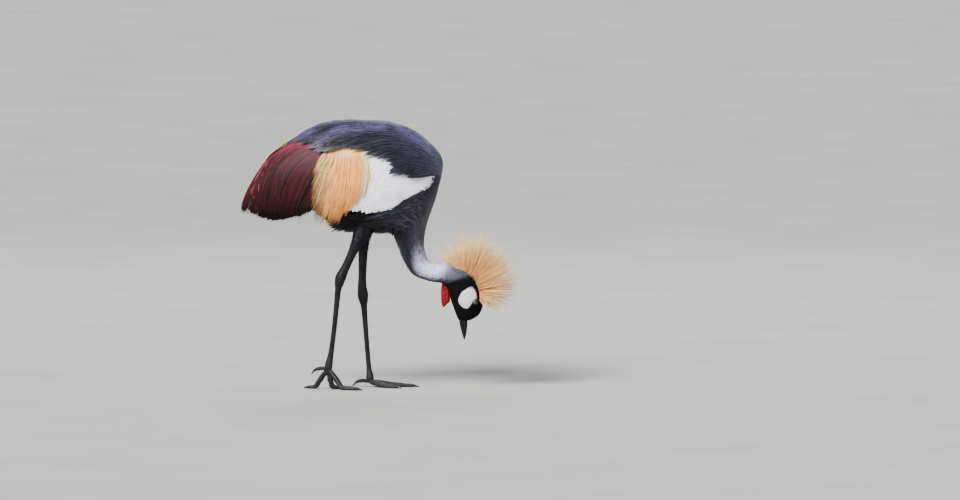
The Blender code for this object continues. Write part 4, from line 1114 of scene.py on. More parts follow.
def eye_finish():
    """Pupil, iris and white as rings about the way the eye faces, alike for both eyes."""
    made, tree, place = begin("eye_gloss", 0.07, 0.45, Coat_Weight=0.5)
    parts = parted(tree, place)
    across = reckon(tree, "MULTIPLY", reckon(tree, "ABSOLUTE", parts[1]), -1.0)
    folded = put(tree, "ShaderNodeCombineXYZ", {0: parts[0], 1: across, 2: parts[2]}).outputs[0]
    offset = vector(tree, "SUBTRACT", folded, EYE).outputs[0]
    side = vector(tree, "CROSS_PRODUCT", offset, EYE_FACING).outputs[0]
    axis = vector(tree, "LENGTH", side).outputs["Value"]
    streak = noise(tree, vector(tree, "NORMALIZE", side).outputs[0], 9.0)
    iris = mixed(tree, ramped(tree, streak, 0.35, 0.65), IRIS_DARK, IRIS_PALE)
    iris = mixed(tree, ramped(tree, axis, IRIS_RADIUS * 0.75, IRIS_RADIUS), iris, IRIS_RIM)
    shade = mixed(tree, ramped(tree, axis, PUPIL_RADIUS * 0.94, PUPIL_RADIUS * 1.06), BLACK, iris)
    shade = mixed(tree, ramped(tree, axis, IRIS_RADIUS, IRIS_RADIUS * 1.08), shade, EYE_WHITE)
    return finished(made, shade)


def lid_finish():
    made, tree, place = begin("lid_skin", 0.75, 0.08)
    fold = noise(tree, place, 1200.0, 4.0)
    shade = mixed(tree, ramped(tree, fold, 0.35, 0.7), LID_DARK, LID_GREY)
    return finished(made, shade, fold, (0.35, 0.6), fold)


def eyeball(sign):
    """A ball with the bulge of its cornea, turned to face out and set in the head."""
    ball = bmesh.new()
    bmesh.ops.create_uvsphere(ball, u_segments=56, v_segments=36, radius=EYE_RADIUS)
    for vert in ball.verts:
        vert.co.z += CORNEA_BULGE * max(vert.co.z / EYE_RADIUS, 0.0) ** 10
    turn = EYE_FACING.to_track_quat("Z", "Y").to_matrix()
    bmesh.ops.rotate(ball, cent=(0.0, 0.0, 0.0), matrix=turn, verts=ball.verts[:])
    bmesh.ops.translate(ball, vec=EYE, verts=ball.verts[:])
    bmesh.ops.scale(ball, vec=(1.0, sign, 1.0), verts=ball.verts[:])
    return closed_up(ball)


def lid_ring(radius, thickness, out):
    """A fold of the lids: a grid rolled up into a ring, a little flattened, with fine creases."""
    ring = bmesh.new()
    bmesh.ops.create_grid(ring, x_segments=14, y_segments=72, size=0.5)
    upward = Vector((0.0, 0.0, 1.0))
    ahead = EYE_FACING.cross(upward)
    for vert in ring.verts:
        turn = vert.co.x * math.tau
        around = vert.co.y * math.tau
        wide = radius * (1.0 - 0.07 * math.cos(around) ** 2)
        thick = thickness * (1.0 + 0.10 * math.sin(around * 11 + radius * 4e3))
        arm = ahead * math.cos(around) + upward * math.sin(around)
        centre = EYE + EYE_FACING * out + arm * (wide + thick * math.cos(turn))
        vert.co = centre + EYE_FACING * thick * math.sin(turn)
    bmesh.ops.remove_doubles(ring, verts=ring.verts[:], dist=1e-6)
    return ring


def gathered(parts):
    """One shape of several."""
    whole = bmesh.new()
    for part in parts:
        data = meshed("part", part)
        whole.from_mesh(data)
        bpy.data.meshes.remove(data)
    return whole


wet = eye_finish()
for side, sign in (("right", 1.0), ("left", -1.0)):
    dress("eyeball_" + side, eyeball(sign), wet, "eye", "eye_" + side)
lids = gathered([lid_ring(*sizes) for sizes in LID_RINGS])
dress("lids", mirror_over(lids), lid_finish(), "black_feathers")


# The crest: some nineteen hundred stiff golden bristles that stand from the crown like a fan seen from the
# side. Each is a single narrow feather twisted to a bristle, peach-gold in the dense middle, straw-coloured
# outside and tipped with brown.

CREST_COUNT = 1900
CREST_HALF_WIDTH = (0.00040, 0.00060)
CREST_CENTRE = np.array([0.2095, 0.0, 0.2540])
# From the nape forwards: the direction of the first and last bristle in degrees, the reach of the bristles,
# and the stations that they are rooted between
CREST_ANGLES = (147.0, -60.0)
CREST_REACH = [[0.098], [0.111], [0.114], [0.124], [0.094]]
CREST_STATIONS = (NAPE + 1.15, NAPE + 4.45)
CREST_SPREAD = 0.0140
CREST_LEAN = math.radians(27)
CREST_GOLD = (1.0, 0.44, 0.115)
CREST_STRAW = (1.0, 0.68, 0.26)
CREST_BROWN = (0.090, 0.048, 0.022)

draw = np.random.default_rng(47)
fan = (np.arange(CREST_COUNT) + draw.uniform(0, 1, CREST_COUNT)) / CREST_COUNT
lateral = draw.uniform(-1.0, 1.0, CREST_COUNT)
root_t = between(CREST_STATIONS, fan)
width = along_curve(SECTIONS, root_t)[:, 4]
root_angle = -np.arcsin(np.clip(lateral * CREST_SPREAD / width, -0.95, 0.95))
start = body_form(root_t, root_angle, -0.8)
turn = np.radians(between(CREST_ANGLES, fan) + draw.normal(0, 3.0, CREST_COUNT))
lean = CREST_LEAN * lateral + draw.normal(0, 0.07, CREST_COUNT)
reach = along_curve(CREST_REACH, fan * (len(CREST_REACH) - 1))[:, 0]
reach = reach * (1.03 - 0.46 * draw.random(CREST_COUNT) ** 1.1)
aim = np.stack([np.cos(turn) * np.cos(lean), np.sin(lean), np.sin(turn) * np.cos(lean)], axis=-1)
end = CREST_CENTRE + aim * reach[:, None]
v = np.linspace(0, 1, 8)[None, :, None]
middle = (start + end) / 2 + draw.normal(0, 0.0028, (CREST_COUNT, 3))
centres = start[:, None] * (1 - v) ** 2 + middle[:, None] * 2 * v * (1 - v) + end[:, None] * v**2
outs = unit(np.cross(unit(np.gradient(centres, axis=1)), unit(draw.normal(0, 1, (CREST_COUNT, 1, 3)))))
half_width = np.linspace(1.0, 0.42, 8)[None] * draw.uniform(*CREST_HALF_WIDTH, CREST_COUNT)[:, None]
outer = v[..., 0] + draw.normal(0, 0.08, (CREST_COUNT, 1))
tipped = smooth(0.80, 0.95, v[..., 0]) * (draw.random((CREST_COUNT, 1)) < 0.60)
tint = blend(blend(CREST_GOLD, CREST_STRAW, smooth(0.30, 0.75, outer)), CREST_BROWN, tipped)
tint = tint * draw.uniform(0.86, 1.08, (CREST_COUNT, 1, 1))
straw = plumage("crest_bristles", 0.55, 1.0, 0.0, 0.0, 0.06, 46.0, 6.0, (1.0, 0.78, 0.48))
lines = (centres, outs, (root_t, root_angle))
lay("crest", round_bristle(3, 7), lines, half_width, tint, straw, "neck_feathers", camber=None)


# The bill: two halves of dark horn that meet along the mouth's line, ridged above, with a long groove from
# the slit of each nostril towards the tip.

# From the face to the tip: lower edge x and z, ridge x and z, half width
BILL_SECTIONS = np.array([
    (0.1895, 0.1650, 0.2000, 0.1650, 0.0050),
    (0.1850, 0.1605, 0.2034, 0.1605, 0.0080),
    (0.1842, 0.1555, 0.2036, 0.1555, 0.0087),
    (0.1858, 0.1450, 0.2032, 0.1450, 0.0076),
    (0.1895, 0.1300, 0.2012, 0.1300, 0.0052),
    (0.1925, 0.1190, 0.1990, 0.1190, 0.0030),
    (0.1950, 0.1120, 0.1964, 0.1120, 0.0009),
])
MOUTH_BASE = Vector((0.1905, 0.0, 0.1556))
MOUTH_TIP = Vector((0.1953, 0.0, 0.1115))
NOSTRIL = np.array([0.1985, 0.0070, 0.1440])
NOSTRIL_SIZE = np.array([0.0014, 0.0060, 0.0048])
NOSTRIL_DEPTH = 0.0022
GROOVE_DEPTH = 0.0007
MOUTH_GAP = 0.00005
HORN_BLACK = (0.0025, 0.0025, 0.0032)
HORN_BLUE_SHEEN = (0.0080, 0.0080, 0.0110)
HORN_WORN = (0.017, 0.016, 0.019)


def bill_form(t, angle, height):
    section = along_curve(BILL_SECTIONS, t)
    ridge = 1 - 0.10 * smooth(0.55, 0.95, np.cos(angle))
    side = signed_power(np.sin(angle), 0.92) * section[..., 4] * ridge
    spots = spots_on(section, signed_power(np.cos(angle), 0.92) * upright(section)[2], side)
    folded = np.stack([spots[..., 0], np.abs(spots[..., 1]), spots[..., 2]], axis=-1)
    away = (folded - NOSTRIL) / NOSTRIL_SIZE
    slit = np.exp(-((away**2).sum(-1)) * 1.6)
    fall = spots[..., 2]
    trail = np.exp(-(away[..., 0] ** 2) * 0.8) * smooth(0.0, 0.012, 0.146 - fall) * smooth(0.118, 0.130, fall)
    inward = NOSTRIL_DEPTH * slit + GROOVE_DEPTH * trail
    spots[..., 1] -= np.sign(spots[..., 1]) * np.minimum(inward, np.abs(spots[..., 1]) * 0.6)
    return spots


def horn_finish():
    """Black horn with a faint blue sheen painted in blotches, and fine worn lines along it."""
    made, tree, place = begin("bill_horn", 0.42, 0.16)
    long = put(tree, "ShaderNodeMapping", {"Vector": place, "Scale": (1.0, 1.0, 0.08)}).outputs[0]
    line = noise(tree, long, 1500.0, 4.0)
    cloud = noise(tree, place, 160.0)
    # A painted blue sheen, in blotches over the black
    shade = mixed(tree, ramped(tree, cloud, 0.3, 0.75), HORN_BLACK, HORN_BLUE_SHEEN)
    shade = mixed(tree, ramped(tree, line, 0.45, 0.75, 0.0, 0.5), shade, HORN_WORN)
    return finished(made, shade, cloud, (0.28, 0.50), line, 0.0002)


def bill_half(upper):
    """The bill above or below the mouth's line, with its cut face closed."""
    mesh = lofted(bill_form, 0.0, len(BILL_SECTIONS) - 1, 96, 64)
    line = (MOUTH_TIP - MOUTH_BASE).normalized()
    away = Vector((-line.z, 0.0, line.x)) * (1.0 if upper else -1.0)
    everything = mesh.verts[:] + mesh.edges[:] + mesh.faces[:]
    start = MOUTH_BASE + away * MOUTH_GAP
    bmesh.ops.bisect_plane(mesh, geom=everything, plane_co=start, plane_no=away, clear_inner=True)
    return closed_up(mesh)


horn = horn_finish()
dress("upper_bill", bill_half(True), horn, "bill_horn", "bill_upper")
dress("lower_bill", bill_half(False), horn, "bill_horn", "bill_lower")


# The wattle: a crimson bag of bare skin under the throat, thin, wrinkled along its length and pebbled, with
# painted shade at its top, where it leaves the feathers under the throat.

# From the throat down: rear edge x and z, front edge x and z, half width
WATTLE_SECTIONS = np.array([
    (0.1450, 0.2440, 0.1590, 0.2440, 0.0044),
    (0.1425, 0.2300, 0.1620, 0.2300, 0.0054),
    (0.1422, 0.2120, 0.1634, 0.2120, 0.0064),
    (0.1428, 0.2000, 0.1625, 0.2010, 0.0066),
    (0.1445, 0.1920, 0.1560, 0.1935, 0.0046),
    (0.1470, 0.1872, 0.1500, 0.1876, 0.0015),
])
WATTLE_RED = (0.24, 0.0012, 0.0040)
WATTLE_CRIMSON = (0.15, 0.0007, 0.0026)
WATTLE_PITS = (0.08, 0.0008, 0.0020)
# The painted shade at the top of the wattle
WATTLE_TOP_SHADE = (0.035, 0.0010, 0.0030)


def wattle_form(t, angle, height):
    section = along_curve(WATTLE_SECTIONS, t)
    fold = 0.84 + 0.10 * np.cos(6 * angle) + 0.05 * np.cos(15 * angle + 2.2 * t)
    crease = 1 + 0.035 * np.sin(9.0 * t + 3 * np.cos(angle)) * np.sin(angle) ** 2
    rise = np.cos(angle) * (1 + 0.02 * np.cos(11 * t)) * upright(section)[2]
    return spots_on(section, rise, np.sin(angle) * section[..., 4] * fold * crease)


def wattle_finish():
    flesh = {"Subsurface_Weight": 0.10, "Subsurface_Radius": (0.004, 0.0008, 0.0006)}
    made, tree, place = begin("wattle_skin", 0.45, 0.18, **flesh)
    pebble = cells(tree, place, 900.0)
    cloud = noise(tree, place, 220.0, 4.0)
    rise = parted(tree, place)[2]
    red = mixed(tree, ramped(tree, cloud, 0.35, 0.7), WATTLE_RED, WATTLE_CRIMSON)
    red = mixed(tree, ramped(tree, pebble, 0.1, 0.6, 0.0, 0.35), red, WATTLE_PITS)
    # Painted shade at the top, where the wattle tucks under the throat's feathers
    shade = mixed(tree, ramped(tree, rise, 0.222, 0.240, 0.0, 0.75), red, WATTLE_TOP_SHADE)
    return finished(made, shade, cloud, (0.32, 0.52), pebble)


wattle = lofted(wattle_form, 0.0, len(WATTLE_SECTIONS) - 1, 110, 90)
dress("red_wattle", wattle, wattle_finish(), "wattle_skin", "wattle")


# The bare legs: long black shanks, thick hocks that bend backwards, and feet with three toes in front and a
# raised hind toe. The horny skin is cut into broad scutes down the front and small scales behind.

# For each toe, the inner, middle, outer and hind one, from the foot joint: x, y, z, half height, half width
TOES = {
    "right": [
        [
            (-0.1160, -0.0330, 0.0470, 0.0052, 0.0055), (-0.0990, -0.0440, 0.0250, 0.0062, 0.0066),
            (-0.0840, -0.0530, 0.0060, 0.0058, 0.0064), (-0.0600, -0.0600, 0.0038, 0.0044, 0.0052),
            (-0.0480, -0.0630, 0.0036, 0.0030, 0.0030), (-0.0370, -0.0655, 0.0012, 0.0010, 0.0010),
        ],
        [
            (-0.1160, -0.0330, 0.0470, 0.0052, 0.0055), (-0.1130, -0.0320, 0.0260, 0.0064, 0.0070),
            (-0.1050, -0.0310, 0.0060, 0.0060, 0.0066), (-0.0760, -0.0300, 0.0038, 0.0046, 0.0054),
            (-0.0620, -0.0295, 0.0036, 0.0030, 0.0030), (-0.0500, -0.0290, 0.0012, 0.0010, 0.0010),
        ],
        [
            (-0.1160, -0.0330, 0.0470, 0.0052, 0.0055), (-0.1320, -0.0240, 0.0270, 0.0060, 0.0064),
            (-0.1460, -0.0160, 0.0060, 0.0056, 0.0060), (-0.1580, -0.0110, 0.0036, 0.0042, 0.0046),
            (-0.1660, -0.0080, 0.0034, 0.0028, 0.0028), (-0.1740, -0.0055, 0.0012, 0.0010, 0.0010),
        ],
        [
            (-0.1160, -0.0325, 0.0480, 0.0044, 0.0046), (-0.1360, -0.0290, 0.0480, 0.0044, 0.0044),
            (-0.1480, -0.0270, 0.0440, 0.0030, 0.0030), (-0.1560, -0.0260, 0.0340, 0.0009, 0.0009),
        ],
    ],
    "left": [
        [
            (-0.0218, 0.0340, 0.0130, 0.0056, 0.0060), (0.0000, 0.0480, 0.0080, 0.0062, 0.0066),
            (0.0220, 0.0600, 0.0044, 0.0056, 0.0062), (0.0420, 0.0690, 0.0038, 0.0044, 0.0052),
            (0.0530, 0.0735, 0.0036, 0.0030, 0.0030), (0.0630, 0.0775, 0.0012, 0.0010, 0.0010),
        ],
        [
            (-0.0218, 0.0340, 0.0130, 0.0056, 0.0060), (0.0080, 0.0330, 0.0090, 0.0066, 0.0070),
            (0.0400, 0.0320, 0.0046, 0.0060, 0.0066), (0.0680, 0.0310, 0.0038, 0.0046, 0.0054),
            (0.0800, 0.0305, 0.0036, 0.0030, 0.0030), (0.0920, 0.0300, 0.0012, 0.0010, 0.0010),
        ],
        [
            (-0.0218, 0.0340, 0.0130, 0.0056, 0.0060), (-0.0020, 0.0190, 0.0080, 0.0060, 0.0064),
            (0.0160, 0.0060, 0.0044, 0.0054, 0.0060), (0.0340, -0.0040, 0.0036, 0.0042, 0.0046),
            (0.0430, -0.0090, 0.0034, 0.0028, 0.0028), (0.0520, -0.0140, 0.0012, 0.0010, 0.0010),
        ],
        [
            (-0.0225, 0.0335, 0.0140, 0.0044, 0.0046), (-0.0420, 0.0290, 0.0150, 0.0044, 0.0044),
            (-0.0540, 0.0260, 0.0110, 0.0030, 0.0030), (-0.0620, 0.0240, 0.0030, 0.0009, 0.0009),
        ],
    ],
}
LEG_ROWS = 440
LEG_COLUMNS = 28
SCUTE_LENGTH = 0.0052
SCUTE_RISE = 0.00032
TOE_SCUTE_LENGTH = 0.0036
TOE_SCUTE_RISE = 0.00022
KNUCKLE_RISE = 0.0003
# The toe runs into its claw this many stations before its end, and the claw is this much slimmer
CLAW_START = 2.0
CLAW_SLIM = (0.96, 0.90)
LEG_BLACK = (0.0035, 0.0032, 0.0045)
LEG_VIOLET_SHEEN = (0.0095, 0.0088, 0.0130)
SCALE_SEAM = (0.0025, 0.0020, 0.0025)
DUST = (0.045, 0.038, 0.031)
CLAW_BLACK = (0.0050, 0.0045, 0.0050)
CLAW_GREY = (0.026, 0.023, 0.021)


def scute_rise(stations, t, facing, length):
    """How far the overlapping scutes stand out along a limb, most on the side that they face."""
    marks = np.linspace(0, len(stations) - 1, 400)
    spots = along_curve(stations, marks)[:, :3]
    reach = np.concatenate([[0.0], np.cumsum(np.linalg.norm(np.diff(spots, axis=0), axis=-1))])
    run = np.interp(t, marks, reach) / length
    share = run - np.floor(run)
    plate = np.sqrt(np.clip(1 - (share - 0.62) ** 2 / 0.42, 0.0, 1.0)) - 0.35
    return plate * smooth(-0.1, 0.55, facing)


def scuted_leg(stations):
    plain = limb_form(stations)

    def form(t, angle, height):
        spots = plain(t, angle, 0.0)
        middle = along_curve(stations, t)[..., :3]
        rise = scute_rise(stations, t, np.cos(angle), SCUTE_LENGTH) * SCUTE_RISE * smooth(5.2, 6.2, t)
        knuckle = KNUCKLE_RISE * np.sin(angle * 9 + t * 40) * np.exp(-((t - 7.0) ** 2) * 2.5)
        return spots + unit(spots - middle) * (rise + knuckle)[..., None]

    return form


def toe_form(stations, scutes=True):
    """The form of a toe, with pads below and scutes above. Its angle is 0 on top."""

    def form(t, angle, height):
        spot = along_curve(stations, t)
        way = unit(along_curve(stations, t + 0.08)[..., :3] - along_curve(stations, t - 0.08)[..., :3])
        across = unit(np.cross(np.array([0.0, 0.0, 1.0]), way))
        up = np.cross(way, across)
        pad = 1 + 0.10 * np.cos(2 * math.pi * (t * 1.5 + 0.3)) * smooth(0.0, 0.7, -np.cos(angle))
        rise = scute_rise(stations, t, np.cos(angle), TOE_SCUTE_LENGTH) * TOE_SCUTE_RISE * scutes
        places = (
            spot[..., :3]
            + across * ((spot[..., 4] + rise) * np.sin(angle))[..., None]
            + up * ((spot[..., 3] * pad + rise) * np.cos(angle))[..., None]
        )
        places[..., 2] = np.maximum(places[..., 2], 0.0)
        return places

    return form


def leg_finish():
    """Black horny skin with a violet sheen painted in blotches, small scales, dry edges on the scutes, and
    dust low down.
    """
    made, tree, place = begin("leg_skin", 0.52, 0.18)
    rim = put(tree, "ShaderNodeTexVoronoi", {"Vector": place, "Scale": 520.0}, feature="DISTANCE_TO_EDGE")
    cloud = noise(tree, place, 90.0, 4.0)
    # A painted violet sheen, in blotches over the black
    shade = mixed(tree, ramped(tree, cloud, 0.3, 0.7), LEG_BLACK, LEG_VIOLET_SHEEN)
    shade = mixed(tree, ramped(tree, rim.outputs["Distance"], 0.0, 0.12, 0.7, 0.0), shade, SCALE_SEAM)
    low = parted(tree, place)[2]
    dust = reckon(tree, "MULTIPLY", ramped(tree, low, 0.0, 0.09, 0.5, 0.0), cloud)
    shade = mixed(tree, dust, shade, DUST)
    return finished(made, shade, cloud, (0.38, 0.62), cells(tree, place, 520.0), 0.0005)


def claw_finish():
    made, tree, place = begin("claw_horn", 0.32, 0.5)
    line = noise(tree, place, 700.0, 4.0)
    shade = mixed(tree, ramped(tree, line, 0.35, 0.7), CLAW_BLACK, CLAW_GREY)
    return finished(made, shade, line, (0.28, 0.5), line, 0.0002)


def claw(toe):
    slim = [(*row[:3], row[3] * CLAW_SLIM[0], row[4] * CLAW_SLIM[1]) for row in toe]
    return lofted(toe_form(slim, False), len(toe) - CLAW_START, len(toe) - 1.0, 16, 14)


leg_skin = leg_finish()
claw_horn = claw_finish()
for side, stations in LEGS.items():
    bare = lofted(scuted_leg(stations), THIGH_END - 0.9, len(stations) - 1, LEG_ROWS, LEG_COLUMNS)
    toes = [lofted(toe_form(toe), 0.0, len(toe) - CLAW_START + 0.1, 90, 18) for toe in TOES[side]]
    nodes = [node + side for node in ("shank_", "tarsus_", "foot_")]
    dress("leg_" + side, fused("leg", bare, toes), leg_skin, "leg_skin", *nodes)
    dress("claws_" + side, gathered([claw(toe) for toe in TOES[side]]), claw_horn, "leg_skin")


# The tail: short stiff black feathers in a low fan, folded away under the ends of the wings.

TAIL_BASE = np.array([-0.2060, 0.0, 0.4960])
TAIL_SLOPE = math.radians(36)
TAIL_FEATHERS = 12
TAIL_HALF_WIDTH = 0.0085


def tail_form(back, side, height):
    back, side, height = np.broadcast_arrays(back, side, height)
    run = back * math.cos(TAIL_SLOPE)
    drop = back * math.sin(TAIL_SLOPE) + 6.0 * side**2
    return TAIL_BASE + np.stack([-run, side, height - drop], axis=-1)


draw = np.random.default_rng(53)
place = np.linspace(-1, 1, TAIL_FEATHERS)
stack = 0.0007 * (TAIL_FEATHERS - np.arange(TAIL_FEATHERS))
root = (np.full(TAIL_FEATHERS, -0.010), 0.011 * place)
bend = (np.full(TAIL_FEATHERS, 0.045), 0.020 * place)
tip = (0.090 - 0.008 * np.abs(place) + draw.normal(0, 0.002, TAIL_FEATHERS), 0.026 * place)
centres, outs, _ = glide(tail_form, root, bend, tip, levels(TAIL_FEATHERS, 17, stack, stack))
lines = (centres, outs, (np.full(TAIL_FEATHERS, 3.2), place))
half_width = np.full((TAIL_FEATHERS, 1), TAIL_HALF_WIDTH) * outline(17, 0.6, 0.5)
tint = mottled(draw, np.full((TAIL_FEATHERS, 3), BELLY_BLACK), (0.8, 1.6), 17)
lay(
    "tail_fan", flat_feather(8, 16), lines, half_width, tint, black_finish, "black_feathers", "tail",
    roll=0.10, depth=2.0,
)


# The arm and hand of each folded wing: a thin downy core that the wing's feathers grow from, from the wrist
# at the breast back over the flank.

WING_STATIONS = (3.0, 8.6)
WING_ANGLES = (math.radians(30), math.radians(118))
DOWN_DARK = ((0.010, 0.007, 0.009), (0.030, 0.022, 0.025))
DOWN_WHITE = ((0.60, 0.60, 0.64), (0.80, 0.80, 0.85))


def arm_core():
    """A sheet over the flank with two faces, thinner towards its edges, and its mirror image."""
    mesh = bmesh.new()
    bmesh.ops.create_grid(mesh, x_segments=20, y_segments=48, size=0.5)
    raised = thickened(mesh)
    u, v = np.array([vert.co.xy for vert in mesh.verts]).T + 0.5
    t = between(WING_STATIONS, v)
    angle = between(WING_ANGLES, u)
    edge = np.minimum(1.0, 0.2 + 4 * u * (1 - u)) * np.minimum(1.0, 0.2 + 6 * v * (1 - v))
    top = (0.15 + 0.22 * np.clip(t - 4.5, 0, 1)) * edge
    return mirror_over(shaped(mesh, body_form(t, angle, np.where(raised, top, -0.12))))


def down_finish():
    """Soft down, dark at the rear of the wing and white under the white coverts."""
    made, tree, place = begin("wing_down", 0.85, 0.1)
    fluff = noise(tree, place, 320.0, 5.0, 0.7)
    dark = mixed(tree, ramped(tree, fluff, 0.3, 0.7), *DOWN_DARK)
    white = mixed(tree, ramped(tree, fluff, 0.3, 0.7), *DOWN_WHITE)
    fore = parted(tree, place)[0]
    shade = mixed(tree, ramped(tree, fore, -0.040, -0.010), dark, white)
    return finished(made, shade, fluff, (0.75, 0.95), fluff, 0.0008)


dress("wing_arms", arm_core(), down_finish(), "wing_feathers", "wing_right", "wing_left")


# The flight feathers: black primaries that hardly show, chestnut secondaries over them with blackish ends,
# and the long loose chestnut tertials on top, whose barbs hang apart like hair.

CHESTNUT = (0.030, 0.0024, 0.0042)
# Pale chestnut, used for the painted highlight high on the wing and for some paler feathers by chance
CHESTNUT_PALE_HIGHLIGHT = (0.420, 0.096, 0.120)
FLIGHT_BLACK = (0.0050, 0.0035, 0.0045)
# Shares of the way up the fan where two feathers part, with painted shade in the cleft between them
CLEFT_SHADES = (0.17, 0.34, 0.52, 0.71)
# Feathers on each wing; x and z of the lowest and highest root, bend and tip; half width; heights at the
# root, middle and tip, and the rise in height from the lowest to the highest
PRIMARIES = (
    9, ((-0.100, 0.452), (-0.134, 0.475)), ((-0.175, 0.426), (-0.222, 0.450)),
    ((-0.196, 0.397), (-0.300, 0.412)), 0.0125, (0.05, 0.24, 0.24), 0.12,
)
SECONDARIES = (
    15, ((-0.066, 0.495), (-0.146, 0.538)), ((-0.112, 0.476), (-0.226, 0.520)),
    ((-0.150, 0.414), (-0.296, 0.404)), 0.0150, (0.12, 0.44, 0.44), 0.16,
)
TERTIALS = (
    13, ((-0.090, 0.535), (-0.146, 0.560)), ((-0.172, 0.512), (-0.262, 0.545)),
    ((-0.190, 0.420), (-0.317, 0.410)), 0.0150, (0.20, 0.76, 0.80), 0.26,
)
BARB_SPANS = (
    ((-0.072, 0.528), (-0.146, 0.560)), ((-0.128, 0.480), (-0.262, 0.545)),
    ((-0.157, 0.412), (-0.318, 0.409)),
)
LOOSE_BARBS = 2700
BARB_HALF_WIDTH = (0.0008, 0.0020)
TIP_SAG = 0.016
WING_END = -0.3165


def fanned(draw, share, side, roots, bends, tips, heights, step, rows, wander):
    """Centre lines of wing feathers, each a share of the way from the lowest to the highest of its kind."""
    sweep = 0.86 * share**0.8 + 0.14 * smooth(0.86, 0.93, share)
    places = []
    for span, amount, slack in ((roots, share, 0.3), (bends, share, 0.6), (tips, sweep, 1.0)):
        span_x, span_z = np.transpose(span)
        x = between(span_x, amount) + draw.normal(0, wander * slack, len(share))
        z = between(span_z, amount) + draw.normal(0, wander * slack, len(share))
        z -= TIP_SAG * 4 * amount * (1 - amount) * (slack == 1.0)
        places.append(seen(np.maximum(x, WING_END), z))
    marks = [height + step * share for height in heights]
    return glide(body_form, *on_side(side, *places), levels(len(share), rows, *marks))


chestnut = plumage("chestnut_feathers", 0.50, 0.03, -0.55, 0.03, 0.50, 70.0, 30.0, (1.0, 0.60, 0.65), 0.13)
draw = np.random.default_rng(59)
groups = (("primaries", PRIMARIES, 0.0), ("secondaries", SECONDARIES, 0.35), ("tertials", TERTIALS, 1.0))
for name, (number, roots, bends, tips, wide, heights, step), warm in groups:
    share = np.tile(np.linspace(0, 1, number), 2)
    side = np.repeat([1.0, -1.0], number)
    lines = fanned(draw, share, side, roots, bends, tips, heights, step, 25, 0.0016)
    half_width = draw.uniform(0.92, 1.08, 2 * number)[:, None] * wide * outline(25, 0.55, 0.50)
    # Painted highlight on the secondaries and tertials, paler towards the top of the fan, and some paler by
    # chance
    base = blend(CHESTNUT, CHESTNUT_PALE_HIGHLIGHT, 0.45 * warm * share**1.5 + 0.2 * draw.random(2 * number) * warm)
    base = base if name != "primaries" else np.tile(FLIGHT_BLACK, (2 * number, 1))
    dark = smooth(0.80, 1.0, np.linspace(0, 1, 25)[None, :] + 0.12 * (1 - share[:, None]) - 0.10 * warm)
    tint = blend(base[:, None] * np.linspace(1.15, 0.85, 25)[None, :, None], FLIGHT_BLACK, dark)
    roll = -0.06 * side
    lay(
        name, flat_feather(8, 24), lines, half_width, tint, chestnut, "wing_feathers",
        camber=0.10, roll=roll, depth=1.6,
    )

share = draw.random(LOOSE_BARBS)
side = either_side(draw, LOOSE_BARBS)
lines = fanned(draw, share, side, *BARB_SPANS, (0.50, 0.96, 0.98), 0.24, 12, 0.0035)
lines = stray(lines, draw, 0.003, 0.001)
half_width = widths(draw, BARB_HALF_WIDTH, LOOSE_BARBS, 12, 0.4, 0.9)
v = np.linspace(0, 1, 12)[None, :]
# Painted highlight: barbs high on the fan and near their roots lighter towards pale chestnut, darker lower
# down, a few paler by chance
lit = (0.25 + 0.75 * smooth(0.55, 1.0, share))[:, None] * (1 - 0.96 * smooth(0.10, 0.62, v))
lit = lit + 0.22 * draw.random((LOOSE_BARBS, 1)) ** 3 * (1 - 0.75 * v)
# Painted shade in the clefts where the feathers part
cleft_shade = sum(np.exp(-(((share - mark) / 0.016) ** 2)) for mark in CLEFT_SHADES)
shade = blend(CHESTNUT, CHESTNUT_PALE_HIGHLIGHT, lit) * draw.uniform(0.55, 1.35, (LOOSE_BARBS, 1, 1))
shade = shade * (1 - 0.75 * np.clip(cleft_shade, 0, 1)[:, None, None] * smooth(0.15, 0.4, v)[..., None])
tint = blend(shade, FLIGHT_BLACK, smooth(0.74, 0.98, v - 0.12 * share[:, None]))
lay("loose_barbs", flat_feather(2, 9), lines, half_width, tint, chestnut, "wing_feathers", camber=0.3)


# The white coverts of the inner wing: smooth rounded feathers in rows from the wrist back, each row lying
# over the roots of the next. Under the gold plumes they turn to cream.

COVERT_ROWS = 13
COVERT_COLUMNS = 27
COVERT_LENGTHS = (0.072, 0.050)
WRIST_X = 0.1290
COVERT_WHITE = (0.87, 0.88, 0.94)
COVERT_CREAM = (0.95, 0.62, 0.28)
# Where the white turns to gold, x and z from below upwards
GOLD_FRONT = [
    (-0.0685, 0.410), (-0.0520, 0.434), (-0.0320, 0.460), (-0.0165, 0.486), (-0.0200, 0.520),
    (-0.0330, 0.552),
]

draw = np.random.default_rng(61)
count = 2 * COVERT_ROWS * COVERT_COLUMNS
index = np.arange(count)
side = np.where(index % 2 == 0, 1.0, -1.0)
row = (index // 2) % COVERT_ROWS
share = ((index // 2) // COVERT_ROWS + 0.5 * (row % 2)) / (COVERT_COLUMNS - 0.5)
edge = along_curve(COVERT_EDGE, share * (len(COVERT_EDGE) - 1))
rise = row / (COVERT_ROWS - 1)
tip_x = edge[:, 0] + 0.018 * rise * (1 - share) + draw.normal(0, 0.0015, count)
tip_z = edge[:, 1] + 0.108 * rise + draw.normal(0, 0.0012, count)
slope = np.radians(31 + 30 * smooth(0.15, 0.9, share))
reach = between(COVERT_LENGTHS, rise) * draw.uniform(0.95, 1.05, count)
reach = np.minimum(reach, np.maximum(WRIST_X - tip_x, 0.012) / np.cos(slope))
run, climb = reach * np.cos(slope), reach * np.sin(slope)
root = seen(tip_x + run, np.minimum(tip_z + climb, 0.590))
bend = seen(tip_x + 0.5 * run, np.minimum(tip_z + 0.52 * climb, 0.585))
places = on_side(side, root, bend, seen(tip_x, tip_z))
